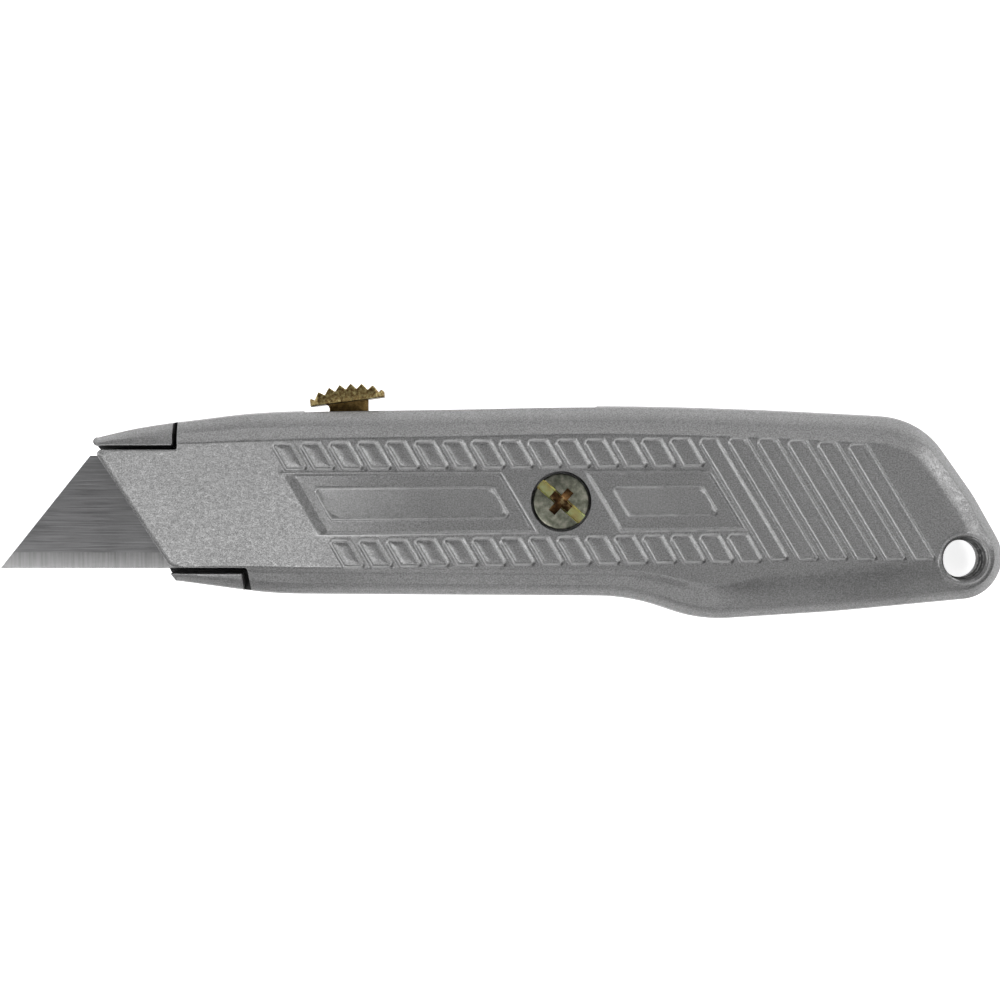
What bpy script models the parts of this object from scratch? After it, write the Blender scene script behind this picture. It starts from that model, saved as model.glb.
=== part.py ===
"""Retractable utility knife: two die-cast handle halves around a sliding blade.

The knife lies on its right-hand half. +X runs from the blade tip to the tail, +Y from the cutting
edge to the thumb button, and +Z points out of the half that carries the screw head. Dimensions are
in millimetres; every mesh is scaled to metres as it becomes an object.
"""
import math

import bmesh
import bpy
from mathutils import Matrix, Vector

MM = 0.001

# Handle, both halves
HALF = 11.0                 # parting plane to the tops of the grip pads
PAD_RISE = 0.3
FACE = HALF - PAD_RISE      # parting plane to the flat outer face
PARTING_GAP = 0.3
WALL = 2.2
FLOOR = 2.0
EDGE_PROFILE = [(0.0, 0.0), (3.3, 0.12), (5.4, 0.3), (6.7, 0.8), (7.7, 1.4), (8.6, 2.1), (9.3, 2.75),
                (FACE, 5.05)]       # height, inset
CLEAR = 30.0                # how far cutting tools reach past the handle's edges

TOP_EDGE = [(-68.6, 10.3), (-60.5, 12.15), (-50.5, 13.55), (-37.0, 14.85), (-8.0, 15.4),
            (16.8, 15.8), (40.0, 15.3), (62.0, 14.25)]
REAR_CORNERS = [((70.15, 13.7), 13.0), ((79.1, 0.9), 25.0), ((88.3, -15.57), 7.12), ((56.0, -18.62), 150.0),
                ((33.3, -20.07), 24.7), ((21.6, -16.05), 33.0), ((-38.1, -15.7), 70.0)]  # corner, fillet radius
NOSE_HEEL = [(-54.2, -13.55), (-55.25, -12.1)]

# Nose taper, by x + SLANT * y. The nose and the pads all follow one slant.
SLANT = 0.585               # run in X for each unit of drop in Y
TAPER = [(-12.0, 0.0), (-20.0, 0.033), (-28.0, 0.133), (-37.0, 0.325), (-63.0, 1.0)]
TIP_THICKNESS = 0.48        # share of the full thickness where the taper reaches 1
TIP_BAND = 0.2              # share of the edge profile's width left at the tip
LOWER_BAND = 0.7            # share left along the cutting-edge side

# Interlocking nose
NOSE_TIP = (-68.0, 8.4)
NOSE_FOOT = (-55.1, -11.3)
LUG_GAP = 0.8
TOP_NOTCH_END = -53.9
BOTTOM_NOTCH_END = -42.2
NOTCH_RUN = 0.9             # how far the bottom notch's end leans back on its way out

# Grip relief on each outer face
PAD_PITCH = 4.715
PAD_SIZE = (3.33, 4.36)
PAD_COUNT = 15
PAD_ROWS = [(-38.05, 9.46, 0.0097), (-28.44, -6.72, 0.0144)]    # first corner, climb
RIB_PITCH = 4.815
RIB_WIDTH = 3.2
RIB_SLANT = 0.6
RIB_START = 39.0            # where the first rib's left side crosses the X axis
RIB_TOPS = [10.08, 10.13, 10.08, 9.78, 9.53, 9.08]
RIB_BOTTOM = -9.78
PANEL_DEPTH = 0.3
PANELS = [[(-34.9, 4.14), (0.0, 4.3), (5.6, -5.1), (-29.3, -5.5)],
          [(14.7, 4.38), (34.8, 4.38), (40.3, -4.64), (20.2, -4.9)]]

# Openings and bosses
SLOT_X = (-32.8, 16.3)
SLOT_BOTTOM = 9.5
SLOT_HALF_WIDTH = 2.3
SLOT_RAILS = [(SLOT_X[0], 14.62), (-8.0, 15.08), (SLOT_X[1], 15.47)]    # what the button slides over
CHANNEL_Y = (-11.75, 8.6)   # the blade's way out through the nose
CHANNEL_REAR = -36.0
CHANNEL_HALF = 0.65
WAY = ((-53.0, 4.6), (CHANNEL_REAR, 11.4))      # room for the front of the carrier's flange
WAY_Z = (8.2, 14.0)
RECESS = [(-64.6, 8.6), (CHANNEL_REAR, 8.6), (CHANNEL_REAR, -6.6), (-56.0, -6.6)]   # for the carrier's plate
RECESS_FLOOR = 8.5
CAVITY_FRONT = (-34.0, -45.0)       # at the cutting side's reach, at the thumb side's reach
SCREW_XY = (10.14, -0.25)
BOSS_R = 4.2
COUNTERBORE_R = 5.0
COUNTERBORE_Z = 19.0
HANG_XY = (77.1, -9.8)
HANG_R = (3.0, 3.7)         # at the parting plane, at the outer face
HANG_BOSS_R = 4.9

# Blade
BLADE_LENGTH = 62.0
BLADE_HEIGHT = 18.9
BLADE_THICK = 0.63
BLADE_SLOPE = 15.05         # how far each end leans in over the height
BEVEL_HEIGHT = 2.65
EDGE_THICK = 0.06
NOTCH_SPACING = 11.2
NOTCH_SIZE = (3.4, 2.6)
BLADE_TIP = (-83.97, -11.44)
SPARE_COUNT = 5
SPARE_CORNER = (12.1, -12.9)
SPARE_TILT = -1.1
SPARE_Z = 3.3
SPARE_PITCH = 0.93
SHELF_X = (28.0, 43.0, 58.0)
SHELF_WIDTH = 1.5
SHELF_Y = (-13.5, 2.0)
SHELF_DROP = 0.3            # shelf tops below the lowest spare blade

# Slide
CARRIER_Z = (8.8, 9.7)
FLANGE_Y = (8.7, 9.6)
FLANGE_X = (-52.0, -12.0)
FLANGE_THICK = 0.5
PLATE_FRONT = [(-54.6, -6.0), (-63.2, 8.3)]
PLATE_REAR_X = -27.0
PLATE_STEP_Y = 5.4
PIP_SIZE = (2.6, 2.6)       # each of the two pips that hold the blade by its notches
PIP_SINK = 2.1              # how far they reach down into the notches
PIP_TOP = 0.25              # above the blade's middle
SPRING_THICK = 0.4
SPRING_HALF_WIDTH = 1.6
SPRING_PATH = [(-46.5, 10.1), (-37.5, 10.1), (-30.0, 10.9), (-21.5, 11.1), (-18.0, 12.1), (-15.5, 11.5)]
RIVET_X = (-44.0, -39.5)
RIVET_R = 0.8
RIVET_HEAD_R = 1.2
HOLE_PLAY = 0.1             # added to a shank's radius for its hole

# Thumb button
BUTTON_MID = (-25.55, 16.45)
BUTTON_TILT = 7.25
BUTTON_LENGTH = 12.8
BUTTON_HALF_WIDTH = 4.5
BUTTON_CROWN = 3.05
BUTTON_CROWN_R = 13.0
TOOTH_PITCH = 1.86
TOOTH_DEPTH = 0.85
TOOTH_COUNT = 6
NECK_X = (-28.7, -22.0)
NECK_BOTTOM = 11.7
NECK_HALF_WIDTH = 1.8

# Screw
HEAD_R = 4.65
HEAD_HEIGHT = 1.7
DOME = 0.45
SHANK_R = 2.1
SHANK_END = 4.2
DRIVE_ANGLE = -41.0
SLOT_SIZE = (1.4, 1.1)
CROSS_SIZE = (1.1, 5.1, 1.6)


# ---------------------------------------------------------------- curves and outlines

def smooth(points, steps):
    """Catmull-Rom curve through the points, with its last point left out."""
    padded = [points[0]] + points + [points[-1]]
    curve = []
    for a, b, c, d in zip(padded, padded[1:], padded[2:], padded[3:]):
        a, b, c, d = Vector(a), Vector(b), Vector(c), Vector(d)
        for step in range(steps):
            t = step / steps
            curve.append(0.5 * (2 * b + (c - a) * t + (2 * a - 5 * b + 4 * c - d) * t ** 2
                                + (3 * b - a - 3 * c + d) * t ** 3))
    return [(p.x, p.y) for p in curve]


def fillet(before, corner, after, radius, turn_step=10.0):
    """Points of the arc that rounds a corner."""
    corner = Vector(corner)
    u = (Vector(before) - corner).normalized()
    v = (Vector(after) - corner).normalized()
    half = u.angle(v) / 2
    centre = corner + (u + v).normalized() * radius / math.sin(half)
    start = corner + u * radius / math.tan(half) - centre
    turn = math.pi - 2 * half
    if u.cross(v) > 0:
        turn = -turn
    count = max(2, round(math.degrees(abs(turn)) / turn_step))
    arc = [centre + Matrix.Rotation(turn * i / count, 2) @ start for i in range(count + 1)]
    return [(p.x, p.y) for p in arc]


def handle_outline():
    """The handle's silhouette, from the top lug's tip clockwise round the tail to the nose's heel."""
    outline = smooth(TOP_EDGE, 3) + [TOP_EDGE[-1]]
    corners = [(TOP_EDGE[-1], 0.0)] + REAR_CORNERS + [(NOSE_HEEL[0], 0.0)]
    for (before, _), (corner, radius), (after, _) in zip(corners, corners[1:], corners[2:]):
        outline += fillet(before, corner, after, radius)
    return outline + NOSE_HEEL


def inset(outline, distance):
    """Move a clockwise outline inward; distance gives the amount at each point."""
    moved = []
    count = len(outline)
    for i, point in enumerate(outline):
        here = Vector(point)
        into = (here - Vector(outline[i - 1])).normalized()
        out = (Vector(outline[(i + 1) % count]) - here).normalized()
        miter = Vector((into.y, -into.x)) + Vector((out.y, -out.x))
        step = miter.normalized() / max(0.3, miter.length / 2)
        moved.append(tuple(here + step * distance(here)))
    return moved


def nose_fraction(x, y):
    """How far along the taper a point is: 0 behind the nose, 1 at its tip."""
    s = x + SLANT * y
    for (near, low), (far, high) in zip(TAPER, TAPER[1:]):
        if s > far:
            return low + (high - low) * max(0.0, (near - s) / (near - far))
    return TAPER[-1][1]


def band_share(x, y):
    """How wide the edge profile is here, as a share of its full width."""
    lower = min(1.0, max(0.0, -y / 10))
    return (1 - (1 - LOWER_BAND) * lower) * (1 - (1 - TIP_BAND) * nose_fraction(x, y))


def slanted_block(x, y, width, drop, slant=SLANT):
    """Parallelogram whose top-left corner is x, y and whose sides follow the slant."""
    run = drop * slant
    return [(x, y), (x + width, y), (x + width + run, y - drop), (x + run, y - drop)]


# ---------------------------------------------------------------- solids

def solid(bm, name):
    bmesh.ops.recalc_face_normals(bm, faces=bm.faces)
    bmesh.ops.scale(bm, vec=(MM, MM, MM), verts=bm.verts)
    mesh = bpy.data.meshes.new(name)
    bm.to_mesh(mesh)
    bm.free()
    obj = bpy.data.objects.new(name, mesh)
    bpy.context.scene.collection.objects.link(obj)
    return obj


def loft(rings, name):
    """Closed solid through rings of equal length."""
    bm = bmesh.new()
    layers = [[bm.verts.new(p) for p in ring] for ring in rings]
    bm.faces.new(layers[0])
    bm.faces.new(reversed(layers[-1]))
    for lower, upper in zip(layers, layers[1:]):
        for i in range(len(lower)):
            bm.faces.new((lower[i - 1], lower[i], upper[i], upper[i - 1]))
    return solid(bm, name)


def prism(outline, low, high, name="prism"):
    """Upright solid over an outline, between two heights given in either order."""
    low, high = sorted((low, high))
    return loft([[(x, y, low) for x, y in outline], [(x, y, high) for x, y in outline]], name)


def block(x, y, z):
    """Box between two limits on each axis."""
    return prism([(x[0], y[0]), (x[0], y[1]), (x[1], y[1]), (x[1], y[0])], *z, "block")


def turned(profile, centre, name="turned", sides=32):
    """Solid turned about a vertical axis; profile is radius and height, bottom to top."""
    rings = []
    for radius, z in profile:
        angles = [2 * math.pi * i / sides for i in range(sides)]
        rings.append([(centre[0] + radius * math.cos(a), centre[1] + radius * math.sin(a), z) for a in angles])
    return loft(rings, name)


def combine(target, tools, operation):
    """Boolean the tools into the target one by one and remove them."""
    for tool in tools:
        modifier = target.modifiers.new("Boolean", "BOOLEAN")
        modifier.operation = operation
        modifier.solver = "EXACT"
        modifier.object = tool
        depsgraph = bpy.context.evaluated_depsgraph_get()
        mesh = bpy.data.meshes.new_from_object(target.evaluated_get(depsgraph))
        target.modifiers.clear()
        target.data = mesh
        bpy.data.objects.remove(tool)
    return target


def cut(target, *tools):
    return combine(target, tools, "DIFFERENCE")


def fuse(target, *tools):
    return combine(target, tools, "UNION")


def finish(obj, name, material, origin=(0.0, 0.0, 0.0)):
    """Name an object, put its origin on a point and give it its material and shading."""
    shift = Vector(origin) * MM
    obj.data.transform(Matrix.Translation(-shift))
    obj.location = shift
    obj.name = name
    obj.data.name = name
    obj.data.materials.clear()
    obj.data.materials.append(material)
    obj.data.shade_smooth()
    obj.data.set_sharp_from_angle(angle=math.radians(30))
    return obj


def metal(name, colour, roughness, metallic=1.0):
    material = bpy.data.materials.new(name)
    material.use_nodes = True
    shader = material.node_tree.nodes["Principled BSDF"]
    shader.inputs["Base Color"].default_value = (*colour, 1.0)
    shader.inputs["Roughness"].default_value = roughness
    shader.inputs["Metallic"].default_value = metallic
    return material


# ---------------------------------------------------------------- handle

def tapered(obj):
    """Crease a solid where the taper's slope changes and thin everything in front."""
    bm = bmesh.new()
    bm.from_mesh(obj.data)
    for s, _ in TAPER:
        bmesh.ops.bisect_plane(bm, geom=bm.verts[:] + bm.edges[:] + bm.faces[:], dist=1e-7,
                               plane_co=(s * MM, 0.0, 0.0), plane_no=(1.0, SLANT, 0.0))
    for vert in bm.verts:
        fraction = nose_fraction(vert.co.x / MM, vert.co.y / MM)
        above = vert.co.z - HALF * MM
        vert.co.z = HALF * MM + above * (1 - (1 - TIP_THICKNESS) * fraction)
    bm.to_mesh(obj.data)
    bm.free()
    return obj


def rounded_block():
    """Both halves as one solid, with the rounded and bevelled edge on each side."""
    outline = handle_outline()
    profile = [(-height, amount) for height, amount in reversed(EDGE_PROFILE[1:])] + EDGE_PROFILE
    rings = []
    for height, amount in profile:
        ring = inset(outline, lambda p: amount * band_share(p.x, p.y))
        rings.append([(x, y, HALF + height) for x, y in ring])
    return loft(rings, "rounded_block")


def cavity(*posts):
    """The hollow inside the handle, behind the nose, with the posts and shelves left standing."""
    ring = [p for p in inset(handle_outline(), lambda p: WALL) if p[0] > NOSE_FOOT[0]]
    depth = FACE - FLOOR
    core = prism(ring, HALF - depth, HALF + depth, "cavity")
    low, high = CAVITY_FRONT
    nose = prism([(BLADE_TIP[0], -CLEAR), (low, -CLEAR), (high, CLEAR), (BLADE_TIP[0], CLEAR)], -CLEAR, CLEAR)
    hang_boss = turned([(HANG_BOSS_R, -CLEAR), (HANG_BOSS_R, CLEAR)], HANG_XY)
    screw_boss = turned([(BOSS_R, -CLEAR), (BOSS_R, CLEAR)], SCREW_XY)
    return cut(core, nose, hang_boss, screw_boss, *posts)


def grip_pads():
    """Outlines of the two rows of pads and of the long ribs behind them."""
    blocks = []
    for row_x, row_y, climb in PAD_ROWS:
        for i in range(PAD_COUNT):
            run = i * PAD_PITCH
            blocks.append(slanted_block(row_x + run, row_y + run * climb, *PAD_SIZE))
    for i, top in enumerate(RIB_TOPS):
        left = RIB_START + i * RIB_PITCH - RIB_SLANT * top
        blocks.append(slanted_block(left, top, RIB_WIDTH, top - RIB_BOTTOM, RIB_SLANT))
    return blocks


def handle_blank(side, *posts):
    """Hollow handle with its grip relief on the face above (+1) or below (-1), before it is split."""
    def relief(outline, low, high):
        return prism(outline, HALF + side * (FACE + low), HALF + side * (FACE + high))
    blank = cut(rounded_block(), *[relief(panel, -PANEL_DEPTH, 1) for panel in PANELS])
    fuse(blank, *[relief(pad, -1, PAD_RISE) for pad in grip_pads()])
    return tapered(cut(blank, cavity(*posts)))


def hanging_hole(side):
    """Flared hole through one half, widest at its outer face."""
    growth = (HANG_R[1] - HANG_R[0]) / FACE
    profile = [(HANG_R[0] + growth * reach, HALF + side * reach) for reach in (-1, HALF + 1)]
    return turned(sorted(profile, key=lambda point: point[1]), HANG_XY)


def shared_cuts(side):
    """Everything both halves are hollowed by."""
    slot = block(SLOT_X, (SLOT_BOTTOM, CLEAR), (HALF - SLOT_HALF_WIDTH, HALF + SLOT_HALF_WIDTH))
    channel = block((BLADE_TIP[0], CHANNEL_REAR), CHANNEL_Y, (HALF - CHANNEL_HALF, HALF + CHANNEL_HALF))
    way = block(*zip(*WAY), WAY_Z)
    over_rails = prism(SLOT_RAILS + [(SLOT_X[1], CLEAR), (SLOT_X[0], CLEAR)], -CLEAR, CLEAR)
    return [slot, over_rails, channel, way, hanging_hole(side)]


def left_housing():
    """The half with the screw head. Its nose is notched for the other half's lugs."""
    everywhere = (-100, 100)
    below = block(everywhere, everywhere, (-CLEAR, HALF + PARTING_GAP / 2))
    out_x, top_y, bottom_y = BLADE_TIP[0], NOSE_TIP[1], NOSE_FOOT[1]
    around_nose = [(out_x, CLEAR), (TOP_NOTCH_END, CLEAR), (TOP_NOTCH_END, top_y), NOSE_TIP, NOSE_FOOT,
                   (BOTTOM_NOTCH_END, bottom_y), (BOTTOM_NOTCH_END + NOTCH_RUN, -CLEAR), (out_x, -CLEAR)]
    surround = turned([(COUNTERBORE_R + 1.3, COUNTERBORE_Z - 1.8), (COUNTERBORE_R + 1.3, CLEAR)], SCREW_XY)
    shell = cut(handle_blank(1, surround), below, prism(around_nose, -CLEAR, CLEAR))
    return cut(shell, turned([(SHANK_R + 0.15, HALF - 1), (SHANK_R + 0.15, CLEAR)], SCREW_XY),
               turned([(COUNTERBORE_R, COUNTERBORE_Z), (COUNTERBORE_R, CLEAR)], SCREW_XY), *shared_cuts(1))


def right_housing():
    """The half the knife lies on, with the lugs, the threaded boss and the spare blade shelf."""
    lug_top, lug_bottom = NOSE_TIP[1] + LUG_GAP, NOSE_FOOT[1] - LUG_GAP
    lug_front, lug_rear = TOP_NOTCH_END - LUG_GAP, BOTTOM_NOTCH_END - LUG_GAP
    out_x = BLADE_TIP[0]
    above = [(out_x, lug_top), (lug_front, lug_top), (lug_front, CLEAR), (100, CLEAR), (100, -CLEAR),
             (lug_rear + NOTCH_RUN, -CLEAR), (lug_rear, lug_bottom), (out_x, lug_bottom)]
    shelves = [block((x, x + SHELF_WIDTH), SHELF_Y, (-CLEAR, SPARE_Z - SHELF_DROP)) for x in SHELF_X]
    shell = cut(handle_blank(-1, *shelves), prism(above, HALF - PARTING_GAP / 2, CLEAR))
    return cut(shell, turned([(SHANK_R + 0.1, SHANK_END - 0.6), (SHANK_R + 0.1, HALF + 1)], SCREW_XY),
               prism(RECESS, RECESS_FLOOR, HALF + 1), *shared_cuts(-1))


def housing_screw():
    head_z = COUNTERBORE_Z + 0.15
    profile = [(SHANK_R - 0.5, SHANK_END), (SHANK_R, SHANK_END + 0.6), (SHANK_R, head_z), (HEAD_R, head_z),
               (HEAD_R, head_z + HEAD_HEIGHT - 0.3), (HEAD_R - 0.35, head_z + HEAD_HEIGHT),
               (HEAD_R * 0.55, head_z + HEAD_HEIGHT + DOME * 0.7), (0.6, head_z + HEAD_HEIGHT + DOME)]
    screw = turned(profile, SCREW_XY)
    crown = head_z + HEAD_HEIGHT + DOME
    grooves = [(SLOT_SIZE[0], 3 * HEAD_R, SLOT_SIZE[1], 0), (*CROSS_SIZE, 0), (*CROSS_SIZE, 90)]
    for width, length, depth, turn in grooves:
        angle = math.radians(DRIVE_ANGLE + turn)
        along = Vector((math.cos(angle), math.sin(angle))) * length / 2
        across = Vector((-math.sin(angle), math.cos(angle))) * width / 2
        middle = Vector(SCREW_XY)
        corners = [middle - along - across, middle + along - across, middle + along + across,
                   middle - along + across]
        cut(screw, prism([tuple(c) for c in corners], crown - depth, crown + 1))
    return screw


# ---------------------------------------------------------------- blades and slide

def blade_mesh(name):
    """Blade with its tip at the origin, edge along +X, centred on z = 0."""
    half, fine = BLADE_THICK / 2, EDGE_THICK / 2
    lean = BLADE_SLOPE * BEVEL_HEIGHT / BLADE_HEIGHT
    back = [(BLADE_LENGTH - BLADE_SLOPE, BLADE_HEIGHT)]
    for side in (1, -1):
        middle = BLADE_LENGTH / 2 + side * NOTCH_SPACING / 2
        reach = NOTCH_SIZE[0] / 2
        floor = BLADE_HEIGHT - NOTCH_SIZE[1]
        back += [(middle + reach, BLADE_HEIGHT), (middle + reach, floor), (middle - reach, floor),
                 (middle - reach, BLADE_HEIGHT)]
    back.append((BLADE_SLOPE, BLADE_HEIGHT))
    body = [(lean, BEVEL_HEIGHT), (BLADE_LENGTH - lean, BEVEL_HEIGHT)] + back
    bm = bmesh.new()
    upper = [bm.verts.new((x, y, half)) for x, y in body]
    lower = [bm.verts.new((x, y, -half)) for x, y in body]
    edge_up = [bm.verts.new((x, 0.0, fine)) for x in (0.0, BLADE_LENGTH)]
    edge_down = [bm.verts.new((x, 0.0, -fine)) for x in (0.0, BLADE_LENGTH)]
    bm.faces.new(upper)
    bm.faces.new(reversed(lower))
    for i in range(1, len(body)):
        j = (i + 1) % len(body)
        bm.faces.new((upper[i], lower[i], lower[j], upper[j]))
    bm.faces.new((edge_up[0], edge_up[1], upper[1], upper[0]))
    bm.faces.new((edge_down[0], lower[0], lower[1], edge_down[1]))
    bm.faces.new((edge_up[0], edge_down[0], edge_down[1], edge_up[1]))
    bm.faces.new((edge_up[0], upper[0], lower[0], edge_down[0]))
    bm.faces.new((edge_up[1], edge_down[1], lower[1], upper[1]))
    return solid(bm, name)


def blade_carrier():
    """Plate behind the blade with pips into its notches, and a flange that carries the spring."""
    low, high = CARRIER_Z
    foot, tip = PLATE_FRONT
    plate = [tip, (FLANGE_X[0], tip[1]), (FLANGE_X[0], FLANGE_Y[1]), (FLANGE_X[1], FLANGE_Y[1]),
             (FLANGE_X[1], PLATE_STEP_Y), (PLATE_REAR_X, PLATE_STEP_Y), (PLATE_REAR_X, foot[1]), foot]
    flange = block(FLANGE_X, FLANGE_Y, (high - FLANGE_THICK, 2 * HALF - low))
    carrier = fuse(prism(plate, low, high), flange)
    for side in (-1, 1):
        x = BLADE_TIP[0] + BLADE_LENGTH / 2 + side * NOTCH_SPACING / 2
        y = BLADE_TIP[1] + BLADE_HEIGHT - PIP_SINK
        pip_x = (x - PIP_SIZE[0] / 2, x + PIP_SIZE[0] / 2)
        fuse(carrier, block(pip_x, (y, y + PIP_SIZE[1]), (high - FLANGE_THICK, HALF + PIP_TOP)))
    hole = [(RIVET_R + HOLE_PLAY, FLANGE_Y[0] - 1), (RIVET_R + HOLE_PLAY, FLANGE_Y[1] + 1)]
    return cut(carrier, *[upright_pin(hole, x) for x in RIVET_X])


def upright_pin(profile, x):
    """Solid turned about an axis along Y at x on the parting plane; profile is radius and y."""
    pin = turned(profile, (0.0, 0.0), sides=20)
    pin.data.transform(Matrix.Translation((x * MM, 0, HALF * MM)) @ Matrix.Rotation(-math.pi / 2, 4, "X"))
    return pin


def spring_rivet(x):
    low, high = FLANGE_Y[0] - 0.15, SPRING_PATH[0][1] + SPRING_THICK / 2 + 0.15
    return upright_pin([(RIVET_HEAD_R - 0.3, low - 0.5), (RIVET_HEAD_R, low - 0.2), (RIVET_HEAD_R, low),
                        (RIVET_R, low), (RIVET_R, high), (RIVET_HEAD_R, high), (RIVET_HEAD_R, high + 0.2),
                        (RIVET_HEAD_R - 0.4, high + 0.55)], x)


def detent_spring():
    """Bent leaf spring, flat over the rivets and humped at its free end."""
    centre = smooth(SPRING_PATH, 5) + [SPRING_PATH[-1]]
    over, under = [], []
    for before, here, after in zip([centre[0]] + centre, centre, centre[1:] + [centre[-1]]):
        along = (Vector(after) - Vector(before)).normalized()
        normal = Vector((-along.y, along.x)) * SPRING_THICK / 2
        over.append(tuple(Vector(here) + normal))
        under.append(tuple(Vector(here) - normal))
    strip = prism(over + under[::-1], HALF - SPRING_HALF_WIDTH, HALF + SPRING_HALF_WIDTH)
    height = SPRING_PATH[0][1]
    hole = [(RIVET_R + HOLE_PLAY, height - 1), (RIVET_R + HOLE_PLAY, height + 1)]
    return cut(strip, *[upright_pin(hole, x) for x in RIVET_X])


def thumb_button():
    """Toothed head on a neck that reaches down through the slot."""
    half = BUTTON_LENGTH / 2
    crown = [(half, 0.0), (half - 0.15, BUTTON_CROWN - half ** 2 / (2 * BUTTON_CROWN_R) - 0.15)]
    first = (TOOTH_COUNT - 1) / 2 * TOOTH_PITCH
    for i in range(TOOTH_COUNT + 1):
        valley = first + TOOTH_PITCH / 2 - i * TOOTH_PITCH
        drop = valley ** 2 / (2 * BUTTON_CROWN_R)
        crown.append((valley, BUTTON_CROWN - TOOTH_DEPTH - drop))
        if i < TOOTH_COUNT:
            peak = valley - TOOTH_PITCH / 2
            crown.append((peak, BUTTON_CROWN - peak ** 2 / (2 * BUTTON_CROWN_R)))
    crown += [(-half + 0.15, crown[1][1]), (-half, 0.0)]
    turn = Matrix.Rotation(math.radians(BUTTON_TILT), 2)
    placed = [tuple(turn @ Vector(p) + Vector(BUTTON_MID)) for p in crown]
    head = prism(placed, HALF - BUTTON_HALF_WIDTH, HALF + BUTTON_HALF_WIDTH)
    x0, x1 = NECK_X
    neck = [(x0, NECK_BOTTOM), (x1, NECK_BOTTOM), (x1, BUTTON_MID[1] + 1.2), (x0, BUTTON_MID[1] + 0.6)]
    return fuse(head, prism(neck, HALF - NECK_HALF_WIDTH, HALF + NECK_HALF_WIDTH))


def build():
    for obj in list(bpy.data.objects):
        bpy.data.objects.remove(obj, do_unlink=True)

    silver = metal("silver_paint", (0.42, 0.42, 0.42), 0.45, 0.8)
    zinc = metal("zinc_plate", (0.45, 0.46, 0.4), 0.35)
    blade_steel = metal("blade_steel", (0.33, 0.34, 0.35), 0.3)
    plain_steel = metal("plain_steel", (0.4, 0.39, 0.37), 0.4)
    spring_steel = metal("spring_steel", (0.22, 0.22, 0.24), 0.3)
    gold = metal("dichromate_plate", (0.5, 0.42, 0.2), 0.4)

    finish(right_housing(), "right_housing", silver)
    finish(left_housing(), "left_housing", silver, (*SCREW_XY, HALF))
    finish(housing_screw(), "housing_screw", zinc, (*SCREW_XY, HALF))

    blade = finish(blade_mesh("blade"), "blade", blade_steel)
    blade.location = (BLADE_TIP[0] * MM, BLADE_TIP[1] * MM, HALF * MM)
    for i in range(SPARE_COUNT):
        spare = finish(blade_mesh("spare_blade"), f"spare_blade_{i + 1}", blade_steel)
        height = SPARE_Z + BLADE_THICK / 2 + i * SPARE_PITCH
        spare.location = (SPARE_CORNER[0] * MM, SPARE_CORNER[1] * MM, height * MM)
        spare.rotation_euler.z = math.radians(SPARE_TILT)

    finish(blade_carrier(), "blade_carrier", plain_steel)
    finish(detent_spring(), "detent_spring", spring_steel)
    for name, x in zip(("spring_rivet_front", "spring_rivet_rear"), RIVET_X):
        finish(spring_rivet(x), name, plain_steel)
    finish(thumb_button(), "thumb_button", gold, (RIVET_X[1], SPRING_PATH[0][1], HALF))


build()
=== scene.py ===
"""Looks of the retractable utility knife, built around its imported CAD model.

The knife lies on its right-hand half, tip towards -X and thumb button towards +Y. The two housings
are height fields over the handle's outline, with the grip relief worked into them, and the blade,
screw and button are turned or cut from their outlines. Lengths are in millimetres until a mesh is
made.
"""
import math

import bmesh
import bpy
import numpy as np
from mathutils import Matrix, Vector
from mathutils.geometry import delaunay_2d_cdt


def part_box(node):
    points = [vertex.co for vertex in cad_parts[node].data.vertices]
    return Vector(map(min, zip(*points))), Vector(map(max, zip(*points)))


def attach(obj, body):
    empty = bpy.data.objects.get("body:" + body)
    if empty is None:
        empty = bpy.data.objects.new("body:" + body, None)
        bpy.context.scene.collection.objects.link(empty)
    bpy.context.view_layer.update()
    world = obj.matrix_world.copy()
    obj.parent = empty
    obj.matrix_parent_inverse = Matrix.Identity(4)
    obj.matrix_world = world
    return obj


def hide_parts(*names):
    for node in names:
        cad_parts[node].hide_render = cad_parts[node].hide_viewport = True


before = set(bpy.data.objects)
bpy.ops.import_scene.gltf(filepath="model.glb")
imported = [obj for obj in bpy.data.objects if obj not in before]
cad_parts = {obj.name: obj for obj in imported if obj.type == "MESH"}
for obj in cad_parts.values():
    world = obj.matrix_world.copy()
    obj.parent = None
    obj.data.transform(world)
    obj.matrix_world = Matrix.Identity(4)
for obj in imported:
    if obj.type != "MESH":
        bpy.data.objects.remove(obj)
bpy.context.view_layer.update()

MM = 0.001


def box_mm(node):
    low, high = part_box(node)
    return np.array(low) / MM, np.array(high) / MM


# ---------------------------------------------------------------- dimensions

HALF = box_mm("left_housing")[1][2] / 2      # parting plane to the tops of the pads
SEAM_NEAR = box_mm("left_housing")[0][2]
SEAM_FAR = 2 * HALF - SEAM_NEAR
PAD_RISE = 0.3
FACE = HALF - PAD_RISE

# Outline of the handle; its corners are each a point and a fillet radius
TOP_EDGE = [(-68.6, 10.3), (-60.5, 12.15), (-50.5, 13.55), (-37.0, 14.85), (-8.0, 15.4),
            (16.8, 15.8), (40.0, 15.3), (62.0, 14.25)]
REAR_CORNERS = [((70.15, 13.7), 13.0), ((79.1, 0.9), 25.0), ((88.3, -15.57), 7.12), ((56.0, -18.62), 150.0),
                ((33.3, -20.07), 24.7), ((21.6, -16.05), 33.0), ((-38.1, -15.7), 70.0)]
FRONT_CORNERS = [((-54.2, -13.55), 0.35), ((-55.25, -12.1), 0.3), ((-67.25, 8.5), 0.3)]
TIP_ROUND = 0.75
OUTLINE_STEP = 0.5

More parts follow.
